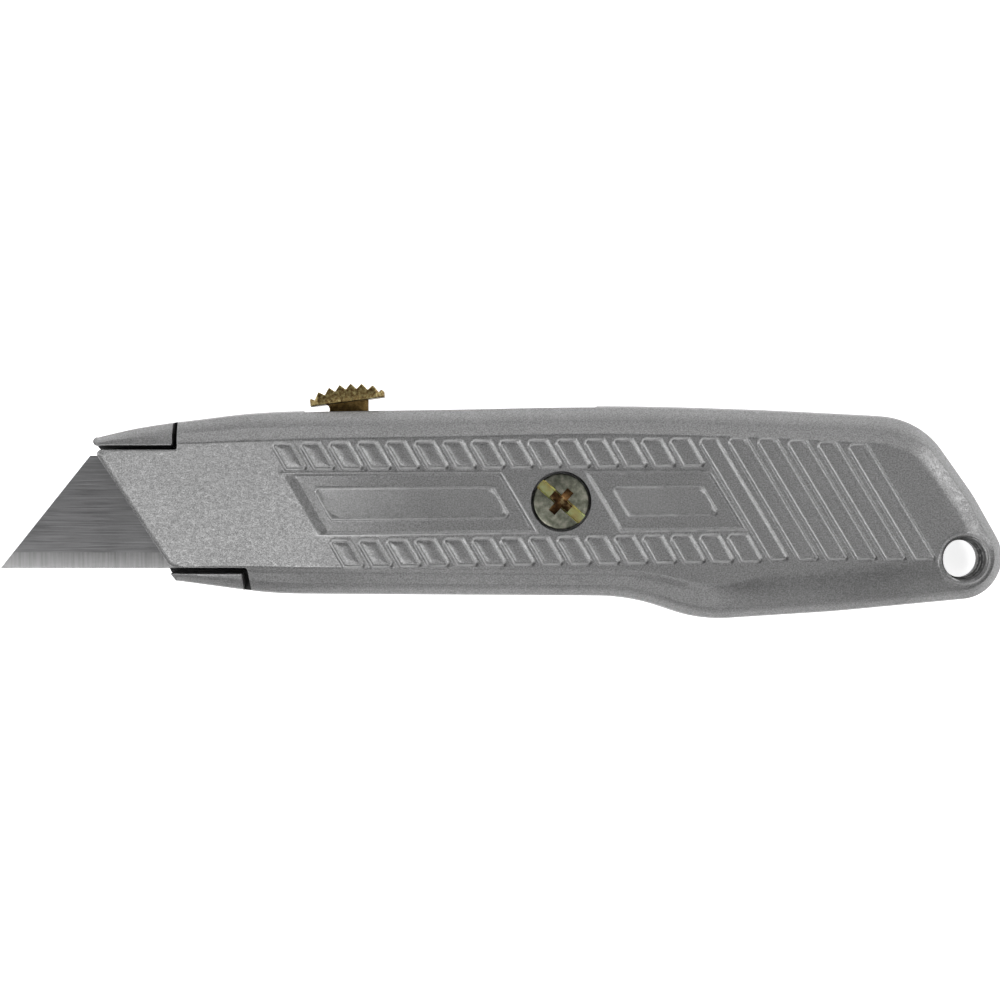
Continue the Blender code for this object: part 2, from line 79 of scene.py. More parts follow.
# Edge of each half: a rolled border, a crease, then a bevel up to the face
ROLL_KNOTS = [(0.0, 0.03), (0.12, 0.42), (0.3, 0.65), (0.8, 0.745), (1.4, 0.84), (2.1, 0.93),
              (2.75, 1.0)]           # inset, share of the crease's height
LOWER_ROLL = 0.35                    # how much flatter the roll is along the cutting side
CREASE_HEIGHT = (9.3, 8.85)          # along the thumb side and the tail, along the cutting side
LOWER_BEVEL = [(0.0, 0.0), (0.56, 0.36), (0.64, 0.45), (0.92, 0.94), (1.0, 1.0)]  # share of width, of rise
ROLL_LEVELS = [0.01, 0.03, 0.06, 0.1, 0.15, 0.22, 0.3, 0.4, 0.52, 0.64, 0.76, 0.88, 0.97]
BEVEL_LEVELS = [0.03, 0.12, 0.25, 0.38, 0.5, 0.56, 0.64, 0.74, 0.84, 0.92, 1.0, 1.06]

# Nose taper; the nose, the pads and the ribs all follow one slant
SLANT = 0.585
TAPER_EASE = (-37.0, -12.0)     # the taper grows from nothing to its full slope between these
TIP_S = -63.0
TIP_THICKNESS = 0.48
PAST_TIP = -90.0
NOSE_TIP = (-68.0, 8.4)
NOSE_FOOT = (-55.1, -11.3)
TOP_NOTCH_END = -53.9
BOTTOM_NOTCH_END = (-42.2, -11.3)
NOTCH_MOUTHS = [(-41.6, -15.6), (TOP_NOTCH_END, 13.2)]     # where the notches meet the outline
NOSE_RADII = (0.35, 0.7, 2.2, 0.6)      # of the near half's corners, from the top notch on
LUG_GAP = 0.8
LUG_CLEAR_Y = (8.9, -11.9)      # the lugs lie above the first and below the second
LUG_RIM_R = 0.3
LUG_TIP_R = 1.2
LUG_BEVEL = 2.6
FRONT_RIM_R = 1.0
GAP_RIM_R = 0.3

# Grip relief. A block's profile is inset from its foot, then height.
PAD_PITCH = 4.715
PAD_SIZE = (4.3, 5.2)
PAD_COUNT = 15
PAD_ROWS = [(-38.78, 9.88, 0.0097), (-29.17, -6.3, 0.0144)]  # first corner, climb
PAD_CORNER_R = (1.0, 0.5, 0.75, 0.3)
PAD_RIM = [(0.0, 0.0), (0.1, 0.04), (0.32, 0.24), (0.42, 0.28), (0.52, 0.25), (0.66, 0.15), (0.76, 0.14)]
PAD_PILLOW = [(0.9, 0.05), (1.15, 0.1), (1.4, 0.135), (1.7, 0.15)]
RIB_PITCH = 4.815
RIB_WIDTHS = [3.85, 4.2, 4.2, 4.2, 4.2, 4.2]
RIB_SLANT = 0.6
RIB_START = 38.5            # where the first rib's left side crosses the X axis
RIB_TOPS = [10.5, 10.55, 10.5, 10.2, 9.95, 9.5]
RIB_BOTTOM = -10.2
RIB_RIM = [(0.0, 0.0), (0.1, 0.05), (0.32, 0.26), (0.42, 0.3), (0.52, 0.26), (0.66, 0.2), (0.8, 0.22),
           (2.0, 0.22)]
RIB_RIGHT = [(0.0, -0.22), (0.25, -0.1), (0.5, 0.03), (0.7, 0.0), (1.25, -0.09), (1.6, -0.04), (1.95, 0.0)]
PANEL_DEPTH = 0.3
PANEL_EDGE = [(-1.05, 0.0), (-0.75, 0.22), (-0.55, 0.22), (-0.25, -0.05), (0.2, -0.7), (0.4, -0.95),
              (0.5, -1.0)]      # share of a side's ramp, share of the depth
PANELS = [([(-29.3, -5.5), (5.6, -5.1), (0.0, 4.3), (-34.9, 4.14)], [0.55, 0.6, 0.55, 1.5]),
          ([(20.2, -4.9), (40.3, -4.64), (34.8, 4.38), (14.7, 4.38)], [0.55] * 4)]  # corners, ramp widths
PANEL_SHINE = [(-0.95, 0.0), (-0.75, 0.9), (-0.55, 0.9), (-0.25, 0.0)]  # share of the ramp, painted highlight on its lip
PANEL_HIGHLIGHT_SIDES = [(1.0, 1.0, 0.25, 0.0), (1.0, 0.3, 0.25, 1.0)]             # painted highlight on each side's lip, as the corners go, set by how the light falls on that side
PLATE_INSET = 1.9
PLATE_RIM = [(0.0, 0.0), (0.1, 0.03), (0.28, 0.15), (0.36, 0.17), (0.44, 0.15), (0.62, 0.03), (0.72, 0.0)]
SUPPORT = 0.1               # loop on the flat just outside a foot
# Painted highlight: the relief's rim crests are painted brighter, less on the sides that face away from the
# light
HIGHLIGHT_ATTRIBUTE = "painted_crest_highlight"
CREST_HIGHLIGHT = [(0.1, 0.0), (0.32, 0.75), (0.42, 1.0), (0.52, 0.7), (0.66, 0.0)]  # inset from a foot, painted highlight
SIDE_SHADE = [(0.0, 1.0), (1.4, 0.4)]   # past the middle towards the tail, share of the painted highlight kept: painted shade on the side away from the light
RIB_SHADE = [(0.5, 0.6), (1.2, 1.0)]    # inset from a rib's right side, share of the painted highlight kept again

# Openings and bosses
WALL = 2.2
SKIN = 1.6
CAVITY_DEPTH = 8.6
CAVITY_FRONT = (-34.0, -45.0, 30.0)     # X at the cutting side's reach, at the thumb side's, and that reach
SLOT_X = (-32.8, 16.3)
SLOT_Y = 9.5
SLOT_HALF_WIDTH = 2.3
SLOT_SETBACK = 0.32
SCREW_XY = tuple(((box_mm("housing_screw")[0] + box_mm("housing_screw")[1]) / 2)[:2])
BOSS_R = 4.2
COUNTERBORE_R = 5.0
COUNTERBORE_Z = 19.0
COUNTERBORE_WALL = (1.3, 1.8)           # round it, under it
PILOT = (2.2, 3.6)                      # radius and floor of the screw's hole in the far half
CHANNEL_REAR = -36.0
CHANNEL_DEPTH = 0.65
CARRIAGE_DEPTHS = (3.0, 2.8)            # in the near half, in the far half
RECESS_DEPTH = 2.5
SHELF_X = (28.0, 43.0, 58.0)
SHELF_WIDTH = 1.5
SHELF_Y = (-13.5, 2.0)
SHELF_TOP = 3.0
SHANK_HOLE_R = 2.25
HANG_XY = (77.1, -9.8)
HANG_R = 3.1
HANG_WALL = [(0.0, 0.0), (0.05, 2.6), (0.2, 2.8), (0.25, 5.4), (0.4, 5.6), (0.45, 8.3), (0.58, 8.6),
             (0.68, 10.3)]                                              # outward, up from the parting plane
HANG_FLARE = (0.78, 1.6)    # how far each half's wall leans out: the near one, the far one
HANG_SILL = 0.1             # straight stretch of the wall at the parting plane
HANG_BOSS_R = 4.9
HANG_RIM = (0.3, 0.2, 0.26)     # height of the raised rim, its distance outside the wall, its width

# Blade
BLADE_SLOPE = 15.05
BLADE_BEVEL = 2.65
EDGE_BEVEL = 0.35
BLADE_NOTCH = (11.2, 3.4, 2.6)      # spacing, width, depth
BLADE_THICKNESS = (0.02, 0.45, 1.0)     # half of it in mm at the edge, then shares of the full half
BLADE_RIM = 0.06

# Screw
DRIVE_ANGLE = -41.0
DRIVE_SLOT = (1.4, 0.75)            # width of its floor, depth
DRIVE_CHAMFER = 0.22
CROSS_LENGTH = (3.9, 4.8)
CROSS_WIDTH = 1.35
CROSS_DEPTH = 1.3
CROSS_PIT = (0.7, 0.5)      # share of the arms' reach where it starts, depth per share
SCREW_DOME = 0.3
SCREW_SHOULDER = 0.22
SHANK_R = 2.1

# Thumb button
BUTTON_MID = (-25.55, 16.45)
BUTTON_TILT = 7.25
BUTTON_LENGTH = 12.5
BUTTON_CROWN = 3.0
BUTTON_CROWN_R = 13.0
BUTTON_CORNER = 1.35
BUTTON_CORNER_SLOPE = 1.1
BUTTON_RIM = 0.16
TOOTH_PITCH = 1.8
TOOTH_DEPTH = 0.95
TOOTH_COUNT = 6
NECK_X = (-28.6, -22.1)
NECK_BOTTOM = 11.75
NECK_HALF_WIDTH = 1.8
NECK_FLARE = 0.7


# ---------------------------------------------------------------- curves and outlines

BATCH = 2000    # points measured at a time


def blend01(x):
    x = np.clip(x, 0.0, 1.0)
    return x * x * (3 - 2 * x)


def profile_at(places, profile):
    """Heights of a profile of (place, height) pairs at the given places."""
    return np.interp(places, *np.array(profile).T)


def distance_from(points, centre):
    return np.hypot(points[:, 0] - centre[0], points[:, 1] - centre[1])


def smooth(points, steps):
    """Catmull-Rom curve through the points."""
    padded = [points[0]] + list(points) + [points[-1]]
    curve = []
    for a, b, c, d in zip(padded, padded[1:], padded[2:], padded[3:]):
        a, b, c, d = (np.array(p, float) for p in (a, b, c, d))
        for step in range(steps):
            t = step / steps
            curve.append(0.5 * (2 * b + (c - a) * t + (2 * a - 5 * b + 4 * c - d) * t ** 2
                                + (3 * b - a - 3 * c + d) * t ** 3))
    curve.append(np.array(points[-1], float))
    return [tuple(p) for p in curve]


def fillet(before, corner, after, radius, turn_step=2.5):
    """Points of the arc that rounds a corner."""
    corner = Vector(corner)
    u = (Vector(before) - corner).normalized()
    v = (Vector(after) - corner).normalized()
    half = u.angle(v) / 2
    centre = corner + (u + v).normalized() * radius / math.sin(half)
    start = corner + u * radius / math.tan(half) - centre
    turn = math.pi - 2 * half
    if u.cross(v) > 0:
        turn = -turn
    count = max(3, round(math.degrees(abs(turn)) / turn_step))
    arc = [centre + Matrix.Rotation(turn * i / count, 2) @ start for i in range(count + 1)]
    return [(p.x, p.y) for p in arc]


def fillets(corners, turn_step=2.5):
    """Arcs at all but the ends of a run of corners, each a point and a radius."""
    return [fillet(before[0], corner[0], after[0], corner[1], turn_step)
            for before, corner, after in zip(corners, corners[1:], corners[2:])]


def rounded(corners, radii, turn_step=15.0):
    """Closed polygon with each corner rounded."""
    points = []
    count = len(corners)
    for i in range(count):
        points += fillet(corners[i - 1], corners[i], corners[(i + 1) % count], radii[i], turn_step)
    return points


def resample(points, spacing, closed):
    """Points at even spacing along each straight stretch longer than the spacing."""
    path = [np.array(p, float) for p in points]
    if closed:
        path.append(path[0])
    out = [path[0]]
    for a, b in zip(path, path[1:]):
        count = max(1, int(math.ceil(np.linalg.norm(b - a) / spacing)))
        out += [a + (b - a) * i / count for i in range(1, count + 1)]
    return np.array(out[:-1] if closed else out)


def circle(centre, radius, count):
    angles = 2 * np.pi * np.arange(count) / count
    return np.stack([centre[0] + radius * np.cos(angles), centre[1] + radius * np.sin(angles)], 1)


def nearest(points, path, closed=True):
    """Distance from each point to a path, and the point of the path that is nearest."""
    start, end = (path, np.roll(path, -1, 0)) if closed else (path[:-1], path[1:])
    along = end - start
    length2 = np.maximum((along ** 2).sum(1), 1e-18)
    distance = np.empty(len(points))
    foot = np.empty((len(points), 2))
    for first in range(0, len(points), BATCH):
        batch = slice(first, first + BATCH)
        away = points[batch][:, None, :] - start[None]
        t = np.clip((away * along[None]).sum(2) / length2[None], 0, 1)
        gap2 = ((away - t[..., None] * along[None]) ** 2).sum(2)
        best = gap2.argmin(1)
        rows = np.arange(len(best))
        distance[batch] = np.sqrt(gap2[rows, best])
        foot[batch] = start[best] + t[rows, best][:, None] * along[best]
    return distance, foot


def inside(points, polygon):
    """Which points lie inside a closed polygon."""
    polygon = np.asarray(polygon, float)
    result = np.zeros(len(points), bool)
    x, y = points[:, 0], points[:, 1]
    for (x0, y0), (x1, y1) in zip(polygon, np.roll(polygon, -1, 0)):
        if y0 == y1:
            continue
        crosses = (y0 > y) != (y1 > y)
        result ^= crosses & (x < (x1 - x0) * (y - y0) / (y1 - y0) + x0)
    return result


def left_normals(path, closed=True):
    """Unit normals on the left of each point's direction of travel."""
    if closed:
        into = path - np.roll(path, 1, 0)
        out = np.roll(path, -1, 0) - path
    else:
        steps = np.diff(path, axis=0)
        into = np.vstack([steps[:1], steps])
        out = np.vstack([steps, steps[-1:]])
    into = into / np.maximum(np.linalg.norm(into, axis=1), 1e-12)[:, None]
    out = out / np.maximum(np.linalg.norm(out, axis=1), 1e-12)[:, None]
    normal = np.stack([-(into + out)[:, 1], (into + out)[:, 0]], 1)
    length = np.maximum(np.linalg.norm(normal, axis=1), 1e-9)
    return normal / length[:, None] / np.maximum(length / 2, 0.35)[:, None]


def moved_left(path, amounts, closed=True):
    """Path moved to its left, and which of its points stay that far away from it."""
    amounts = np.broadcast_to(np.asarray(amounts, float), len(path))
    moved = path + left_normals(path, closed) * amounts[:, None]
    return moved, nearest(moved, path, closed)[0] > np.abs(amounts) * 0.985 - 0.002


def runs_where(path, kept):
    """Stretches of two or more neighbouring points that are all kept, as open paths."""
    cuts = np.flatnonzero(np.diff(kept.astype(int))) + 1
    runs = zip(np.split(path, cuts), np.split(kept, cuts))
    return [(run, False) for run, flags in runs if flags[0] and len(run) > 1]


def offset(path, amounts, closed=True):
    """Path moved to its left, in the runs of points that stay that far away from it."""
    moved, kept = moved_left(path, amounts, closed)
    if kept.all():
        return [(moved, closed)]
    first = kept.argmin() if closed else 0
    return runs_where(np.roll(moved, -first, 0), np.roll(kept, -first))


def closed_offset(path, amount):
    """Closed path moved to its left, with the points that fall too near dropped."""
    moved, kept = moved_left(path, amount)
    return moved[kept]


def make_outline():
    """The handle's silhouette, anticlockwise so that its left is inside: its border, then its front."""
    tip = TOP_EDGE[0]
    border = [p for p in smooth(TOP_EDGE, 12) if math.dist(p, tip) > 2 * TIP_ROUND]
    border += sum(fillets([(TOP_EDGE[-1], 0.0)] + REAR_CORNERS + FRONT_CORNERS[:1]), [])
    border = border[::-1]
    corners = [(border[0], 0.0)] + FRONT_CORNERS + [(tip, TIP_ROUND), (border[-1], 0.0)]
    front = sum(fillets(corners, 10.0), [])
    border = resample([front[0]] + border + [front[-1]], OUTLINE_STEP, closed=False)
    front = resample(front[::-1], OUTLINE_STEP, closed=False)
    return np.vstack([border, front[1:-1]]), border, front


OUTLINE, BORDER, FRONT = make_outline()


# ---------------------------------------------------------------- height of the outer face

def lower_side(p):
    """0 along the thumb side and the tail, 1 along the cutting side."""
    return (1 - blend01((p[:, 1] + 8) / 8)) * (1 - blend01((p[:, 0] - 78) / 6))


def nose_narrowing(p):
    """How far the border has narrowed towards the nose's tip, on the thumb side and the cutting side."""
    return np.clip((-38 - p[:, 0]) / 30, 0, 1) ** 1.5, np.clip((-36 - p[:, 0]) / 18, 0, 1) ** 1.6


def roll_width(p):
    """Width of the rolled border at a point of the outline."""
    x, low = p[:, 0], lower_side(p)
    top, bottom = nose_narrowing(p)
    upper = 2.75 - 1.75 * top
    lower = 1.9 + 0.2 * blend01((x - 50) / 20) - 0.7 * bottom
    tail = blend01((x - 66) / 10)
    return (lower * low + upper * (1 - low)) * (1 - tail) + 1.7 * tail


def bevel_width(p):
    """Width of the bevel between the crease and the face."""
    x, low = p[:, 0], lower_side(p)
    top, bottom = nose_narrowing(p)
    upper = 2.3 - 1.4 * top + 0.8 * blend01((x - 62) / 8)
    lower = 2.75 + 1.1 * blend01((x - 17) / 16) + 2.0 * blend01((x - 34) / 14) - 1.55 * bottom
    lower -= 3.4 * blend01((x - 74) / 9)
    return lower * low + upper * (1 - low)


def bevel_roundness(p):
    """0 for a flat bevel, 1 for one that curves over into the face."""
    x, low = p[:, 0], lower_side(p)
    upper = 0.5 * blend01((x - 60) / 10)
    lower = 0.9 * blend01((x - 22) / 20)
    return 0.1 + 0.9 * (lower * low + upper * (1 - low))


ROLL_CURVE = smooth(ROLL_KNOTS, 16)


def edge_height(points, lug=False):
    """Height of the border and face above the parting plane, before the nose taper."""
    distance, foot = nearest(points, BORDER, False)
    low = lower_side(foot)
    roll, bevel = roll_width(foot), bevel_width(foot)
    if lug:
        bevel = np.maximum(bevel, LUG_BEVEL)
    crease = CREASE_HEIGHT[0] + (CREASE_HEIGHT[1] - CREASE_HEIGHT[0]) * low
    short = 1 - profile_at(distance / roll * ROLL_KNOTS[-1][0], ROLL_CURVE)
    border = crease * (1 - short * (1 - LOWER_ROLL * low))
    u = np.clip((distance - roll) / bevel, 0, 1)
    bend = bevel_roundness(foot)
    flat = np.where(u < 0.85, u / 0.925, 1 - (1 - u) ** 2 / 0.15 / 0.925 * 0.5)
    flat = flat * (1 - low) + profile_at(u, LOWER_BEVEL) * low
    rise = (1 - bend) * flat + bend * np.sin(u * np.pi / 2)
    return np.where(distance < roll, border, crease + (FACE - crease) * rise)


def taper(points):
    """How thick the handle is at a point, as a share of its full thickness."""
    s = points[:, 0] + SLANT * points[:, 1]
    start, stop = TAPER_EASE
    eased = (stop - np.clip(s, start, stop)) ** 2 / 2 / (stop - start)
    run = eased + np.clip(start - s, 0, None)
    return 1 - (1 - TIP_THICKNESS) * run / ((stop - start) / 2 + start - TIP_S)


def slanted_block(x, y, width, drop, slant=SLANT):
    """Parallelogram whose top-left corner is x, y and whose sides follow the slant."""
    run = drop * slant
    return [(x, y), (x + run, y - drop), (x + width + run, y - drop), (x + width, y)]


def inner_polygon(corners, margins):
    """Convex anticlockwise polygon with each side moved inward, as its corners."""
    lines = []
    for a, b, margin in zip(corners, corners[1:] + corners[:1], margins):
        a, b = Vector(a), Vector(b)
        along = (b - a).normalized()
        normal = Vector((-along.y, along.x))
        lines.append((a + normal * margin, along))
    moved = []
    for (p, u), (q, v) in zip([lines[-1]] + lines, lines):
        t = (q - p).cross(v) / u.cross(v)
        moved.append(tuple(p + u * t))
    return moved


def pad_profile(bulge):
    """Rim, valley and pillow of a pad; bulge is 1 for a full pillow, 0 for a flat one."""
    floor = PAD_RIM[-1][1]
    return PAD_RIM + [(inset, floor + 0.03 * (1 - bulge) + rise * bulge) for inset, rise in PAD_PILLOW]


def make_blocks():
    """Outline, profile and right-hand side of each raised block: pads, ribs and blank name plates."""
    blocks = []
    for row_x, row_y, climb in PAD_ROWS:
        for i in range(PAD_COUNT):
            run = i * PAD_PITCH
            corners = slanted_block(row_x + run, row_y + run * climb, *PAD_SIZE)
            loop = resample(rounded(corners, PAD_CORNER_R), 0.45, True)
            blocks.append((loop, pad_profile(float(blend01(1.15 - i / 11))), None))
    for i, (top, width) in enumerate(zip(RIB_TOPS, RIB_WIDTHS)):
        left = RIB_START + i * RIB_PITCH - RIB_SLANT * top
        corners = slanted_block(left, top, width, top - RIB_BOTTOM, RIB_SLANT)
        loop = resample(rounded(corners, PAD_CORNER_R), 0.6, True)
        right = (corners[3], corners[2]) if i else None
        blocks.append((loop, RIB_RIM, right))
    for panel, _ in PANELS:
        corners = inner_polygon(panel, [PLATE_INSET] * 4)
        blocks.append((resample(rounded(corners, (0.9,) * 4), 0.6, True), PLATE_RIM, None))
    return blocks


BLOCKS = make_blocks()


def on_blocks(points):
    """For each block under some of the points: those points, how far they are inside its foot and from
    its right side, its outline and its profile."""
    for loop, profile, right in BLOCKS:
        on_block = np.flatnonzero(((points > loop.min(0)) & (points < loop.max(0))).all(1))
        on_block = on_block[inside(points[on_block], loop)]
        if not len(on_block):
            continue
        spots = points[on_block]
        from_right = None if right is None else nearest(spots, np.array(right), False)[0]
        yield on_block, nearest(spots, loop)[0], from_right, loop, profile


def relief(points):
    """Height of the grip relief over the face."""
    height = np.zeros(len(points))
    for panel, ramps in PANELS:
        height += PANEL_DEPTH * profile_at(panel_share(points, panel, ramps).min(0), PANEL_EDGE)
    for on_block, inset, from_right, _, profile in on_blocks(points):
        rise = profile_at(inset, profile)
        if from_right is not None:
            rise = np.maximum(rise + profile_at(from_right, RIB_RIGHT), 0.0)
        height[on_block] += rise
    rim, outside, width = HANG_RIM
    from_rim = distance_from(points, HANG_XY) - HANG_R - HANG_WALL[-1][0] - outside
    return height + rim * np.exp(-(from_rim / width) ** 2)


def panel_share(points, corners, ramps):
    """How far points are inside each side of a panel, in widths of that side's ramp."""
    shares = []
    for a, b, width in zip(corners, corners[1:] + corners[:1], ramps):
        along = np.subtract(b, a) / math.dist(a, b)
        across = (points[:, 1] - a[1]) * along[0] - (points[:, 0] - a[0]) * along[1]
        shares.append(across / width)
    return np.array(shares)


def painted_crest_highlight(points):
    """Painted highlight on the relief, 1 along the crests of its rims, weaker on the sides that face away
    from the light.
    """
    highlit = np.zeros(len(points))
    for (panel, ramps), sides in zip(PANELS, PANEL_HIGHLIGHT_SIDES):
        shares = panel_share(points, panel, ramps)
        nearest_side = shares.argmin(0)
        shine = profile_at(shares.min(0), PANEL_SHINE)
        highlit = np.maximum(highlit, shine * np.array(sides)[nearest_side])
    for on_block, inset, from_right, loop, _ in on_blocks(points):
        off_centre = points[on_block] - loop.mean(0)
        shine = profile_at(inset, CREST_HIGHLIGHT)
        shine *= profile_at(off_centre[:, 0] + SLANT * off_centre[:, 1], SIDE_SHADE)
        if from_right is not None:
            shine *= profile_at(from_right, RIB_SHADE)
        highlit[on_block] = np.maximum(highlit[on_block], shine)
    return highlit


def rim_height(points, edge, radius):
    """Height left by a rounded rim along an edge of the outline."""
    distance = np.minimum(nearest(points, edge, False)[0], radius)
    return FACE - radius + np.sqrt(np.maximum(radius ** 2 - (radius - distance) ** 2, 0))


def hang_wall(points, height, flare):
    """Lower the height inside the flared hanging hole."""
    radius = distance_from(points, HANG_XY) - HANG_R
    reach, rise = np.array(HANG_WALL).T
    wall = SEAM_NEAR - HALF + HANG_SILL + np.interp(radius, reach * flare, rise)
    return np.where(radius < reach[-1] * flare, np.minimum(height, wall), height)


def face_height(points, rims, flare):
    """Height of one half's outer face above the parting plane."""
    height = edge_height(points)
    for edge, radius in rims:
        height = np.minimum(height, rim_height(points, edge, radius))
    return hang_wall(points, (height + relief(points)) * taper(points), flare)


# ---------------------------------------------------------------- solids between two height fields

def add_crossings(loop, paths):
    """Closed loop with a point added wherever one of the paths crosses it."""
    start = loop
    along = np.roll(loop, -1, 0) - loop
    extra = []
    for path, closed in paths:
        a = path if closed else path[:-1]
        b = np.roll(path, -1, 0) if closed else path[1:]
        gap = a[:, None] - start[None]
        way = (b - a)[:, None]
        cross = along[None, :, 0] * way[..., 1] - along[None, :, 1] * way[..., 0]
        cross[np.abs(cross) < 1e-12] = 1e-12
        t = (gap[..., 0] * way[..., 1] - gap[..., 1] * way[..., 0]) / cross
        u = (gap[..., 0] * along[None, :, 1] - gap[..., 1] * along[None, :, 0]) / cross
        _, hit = np.nonzero((t > 0) & (t < 1) & (u >= 0) & (u <= 1))
        share = t[(t > 0) & (t < 1) & (u >= 0) & (u <= 1)]
        extra += [(i + f, tuple(start[i] + along[i] * f)) for i, f in zip(hit, share)]
    everything = [(float(i), tuple(p)) for i, p in enumerate(loop)] + extra
    everything.sort()
    merged = [everything[0][1]]
    for _, point in everything[1:]:
        if math.dist(point, merged[-1]) > 1e-4:
            merged.append(point)
    return np.array(merged)


def triangulate(loops, paths):
    """Constrained triangulation inside the first loop and outside the others."""
    points, edges = [], []
    for path, closed in [(loop, True) for loop in loops] + paths:
        first, count = len(points), len(path)
        points += [Vector(p) for p in path]
        edges += [(first + i, first + (i + 1) % count) for i in range(count if closed else count - 1)]
    corners, _, faces, _, _, _ = delaunay_2d_cdt(points, edges, [], 0, 1e-5)
    corners = np.array([tuple(c) for c in corners])
    faces = np.array(faces)
    middle = corners[faces].mean(1)
    keep = inside(middle, loops[0])
    for hole in loops[1:]:
        keep &= ~inside(middle, hole)
    return corners, faces[keep]


def rim_rings(faces):
    """Closed rings of vertices round the rim of a sheet of triangles."""
    directed = np.vstack([faces[:, [0, 1]], faces[:, [1, 2]], faces[:, [2, 0]]])
    pairs = {tuple(e) for e in directed.tolist()}
    following = {a: b for a, b in pairs if (b, a) not in pairs}
    rings = []
    while following:
        start, here = following.popitem()
        ring = [start]
        while here != start:
            ring.append(here)
            here = following.pop(here)
        rings.append(np.array(ring))
    return rings


def travelled(points):
    """Share of a closed path covered on reaching each point after the first."""
    steps = np.linalg.norm(np.roll(points, -1, 0) - points, axis=1)
    return np.cumsum(steps) / steps.sum()


def wall_faces(top_ring, low_ring, top_xy, low_xy):
    """Triangles joining two rings that follow the same path at different heights."""
    first = distance_from(low_xy[low_ring], top_xy[top_ring[0]]).argmin()
    low_ring = np.roll(low_ring, -first)
    top_share, low_share = travelled(top_xy[top_ring]), travelled(low_xy[low_ring])
    faces = []
    i = j = 0
    while i < len(top_ring) or j < len(low_ring):
        top, low = top_ring[i % len(top_ring)], low_ring[j % len(low_ring)]
        if j == len(low_ring) or (i < len(top_ring) and top_share[i] <= low_share[j]):
            i += 1
            faces.append([top, low, top_ring[i % len(top_ring)]])
        else:
            j += 1
            faces.append([top, low, low_ring[j % len(low_ring)]])
    return faces


def shell(name, loops, upper, upper_paths, lower, lower_paths):
    """Closed solid between two height functions over one outline with holes."""
    loops = [add_crossings(loop, upper_paths + lower_paths) for loop in loops]
    top_xy, top_faces = triangulate(loops, upper_paths)
    low_xy, low_faces = triangulate(loops, lower_paths)
    top = np.column_stack([top_xy, upper(top_xy)])
    low = np.column_stack([low_xy, lower(low_xy)])
    shift = len(top)
    faces = top_faces.tolist() + (low_faces[:, ::-1] + shift).tolist()
    low_rings = rim_rings(low_faces)
    both = np.vstack([top_xy, low_xy])
    for ring in rim_rings(top_faces):
        partner = min(low_rings, key=lambda r: distance_from(low_xy[r], top_xy[ring[0]]).min())
        faces += wall_faces(ring, partner + shift, both, both)
    return mesh_object(name, np.vstack([top, low]), faces)


def mesh_object(name, points, faces):
    mesh = bpy.data.meshes.new(name)
    mesh.from_pydata([tuple(p) for p in np.asarray(points) * MM], [], faces)
    mesh.validate()
    bm = bmesh.new()
    bm.from_mesh(mesh)
    loose = [v for v in bm.verts if not v.link_faces]
    bmesh.ops.delete(bm, geom=loose, context="VERTS")
    bmesh.ops.recalc_face_normals(bm, faces=bm.faces)
    bm.to_mesh(mesh)
    bm.free()
    obj = bpy.data.objects.new(name, mesh)
    bpy.context.scene.collection.objects.link(obj)
    return obj


def soft_shading(obj, angle):
    """Smooth shading that keeps flat areas flat and edges past the angle sharp."""
    obj.data.shade_smooth()
    obj.data.set_sharp_from_angle(angle=math.radians(angle))
    weighted = obj.modifiers.new("Weighted normals", "WEIGHTED_NORMAL")
    weighted.keep_sharp = True
    weighted.weight = 80
    return obj


def mark_painted_highlights(obj, side):
    """Store the painted highlight at each vertex of the outer face, above (+1) or below (-1)."""
    mesh = obj.data
    spots = np.array([vert.co for vert in mesh.vertices]) / MM
    outward = np.array([vert.normal.z for vert in mesh.vertices]) * side > 0
    highlit = np.where(outward, painted_crest_highlight(spots[:, :2]), 0.0)
    layer = mesh.attributes.new(HIGHLIGHT_ATTRIBUTE, "FLOAT", "POINT")
    layer.data.foreach_set("value", highlit.astype(np.float32))


def step_paths(polygon, gap=0.04, spacing=2.0):
    """A pair of loops on either side of a sharp step."""
    loop = resample(polygon, spacing, True)
    return [run for amount in (gap, -gap) for run in offset(loop, amount)]


def edge_paths():
    """Lines along the rolled border, its crease and its bevel."""
    roll, bevel = roll_width(BORDER), bevel_width(BORDER)
    insets = [roll * level for level in ROLL_LEVELS + [1.0]]
    insets += [roll + bevel * level for level in BEVEL_LEVELS]
    return [run for inset in insets for run in offset(BORDER, inset, False)]


def relief_paths():
    """Loops of the grip relief."""
    paths = []
    for panel, ramps in PANELS:
        for level, _ in PANEL_EDGE:
            corners = inner_polygon(panel, [level * width for width in ramps])
            paths.append((resample(corners, 1.0, True), True))
    for loop, profile, right in BLOCKS:
        paths.append((loop, True))
        for inset, _ in [(-SUPPORT, 0.0)] + profile[1:-1]:
            paths += offset(loop, inset)
        if right is not None:
            side = resample(right, 1.0, False)
            for inset, _ in RIB_RIGHT[1:]:
                paths.append((side - left_normals(side, False) * inset, False))
    for grow in (0.0, 0.1, 0.2, 0.3, 0.4, 0.55, 0.75):
        paths.append((circle(HANG_XY, HANG_R + HANG_WALL[-1][0] + grow, 96), True))
    return paths


def rim_paths(rims):
    return [run for edge, radius in rims for level in (0.02, 0.07, 0.16, 0.28, 0.42, 0.58, 0.74, 0.95)
            for run in offset(edge, level * radius, False)]


def hang_paths(flare):
    return [(circle(HANG_XY, HANG_R + reach * flare, 96), True) for reach, _ in HANG_WALL[1:]]


# ---------------------------------------------------------------- housings

def handle_cavity():
    """Inside edge of the hollow, behind the nose."""
    wall = closed_offset(OUTLINE, WALL)
    low_x, high_x, reach = CAVITY_FRONT
    behind = wall[wall[:, 0] > np.interp(wall[:, 1], (-reach, reach), (low_x, high_x))]
    gap = np.linalg.norm(np.diff(behind, axis=0, append=behind[:1]), axis=1).argmax()
    return np.roll(behind, -(gap + 1), 0)


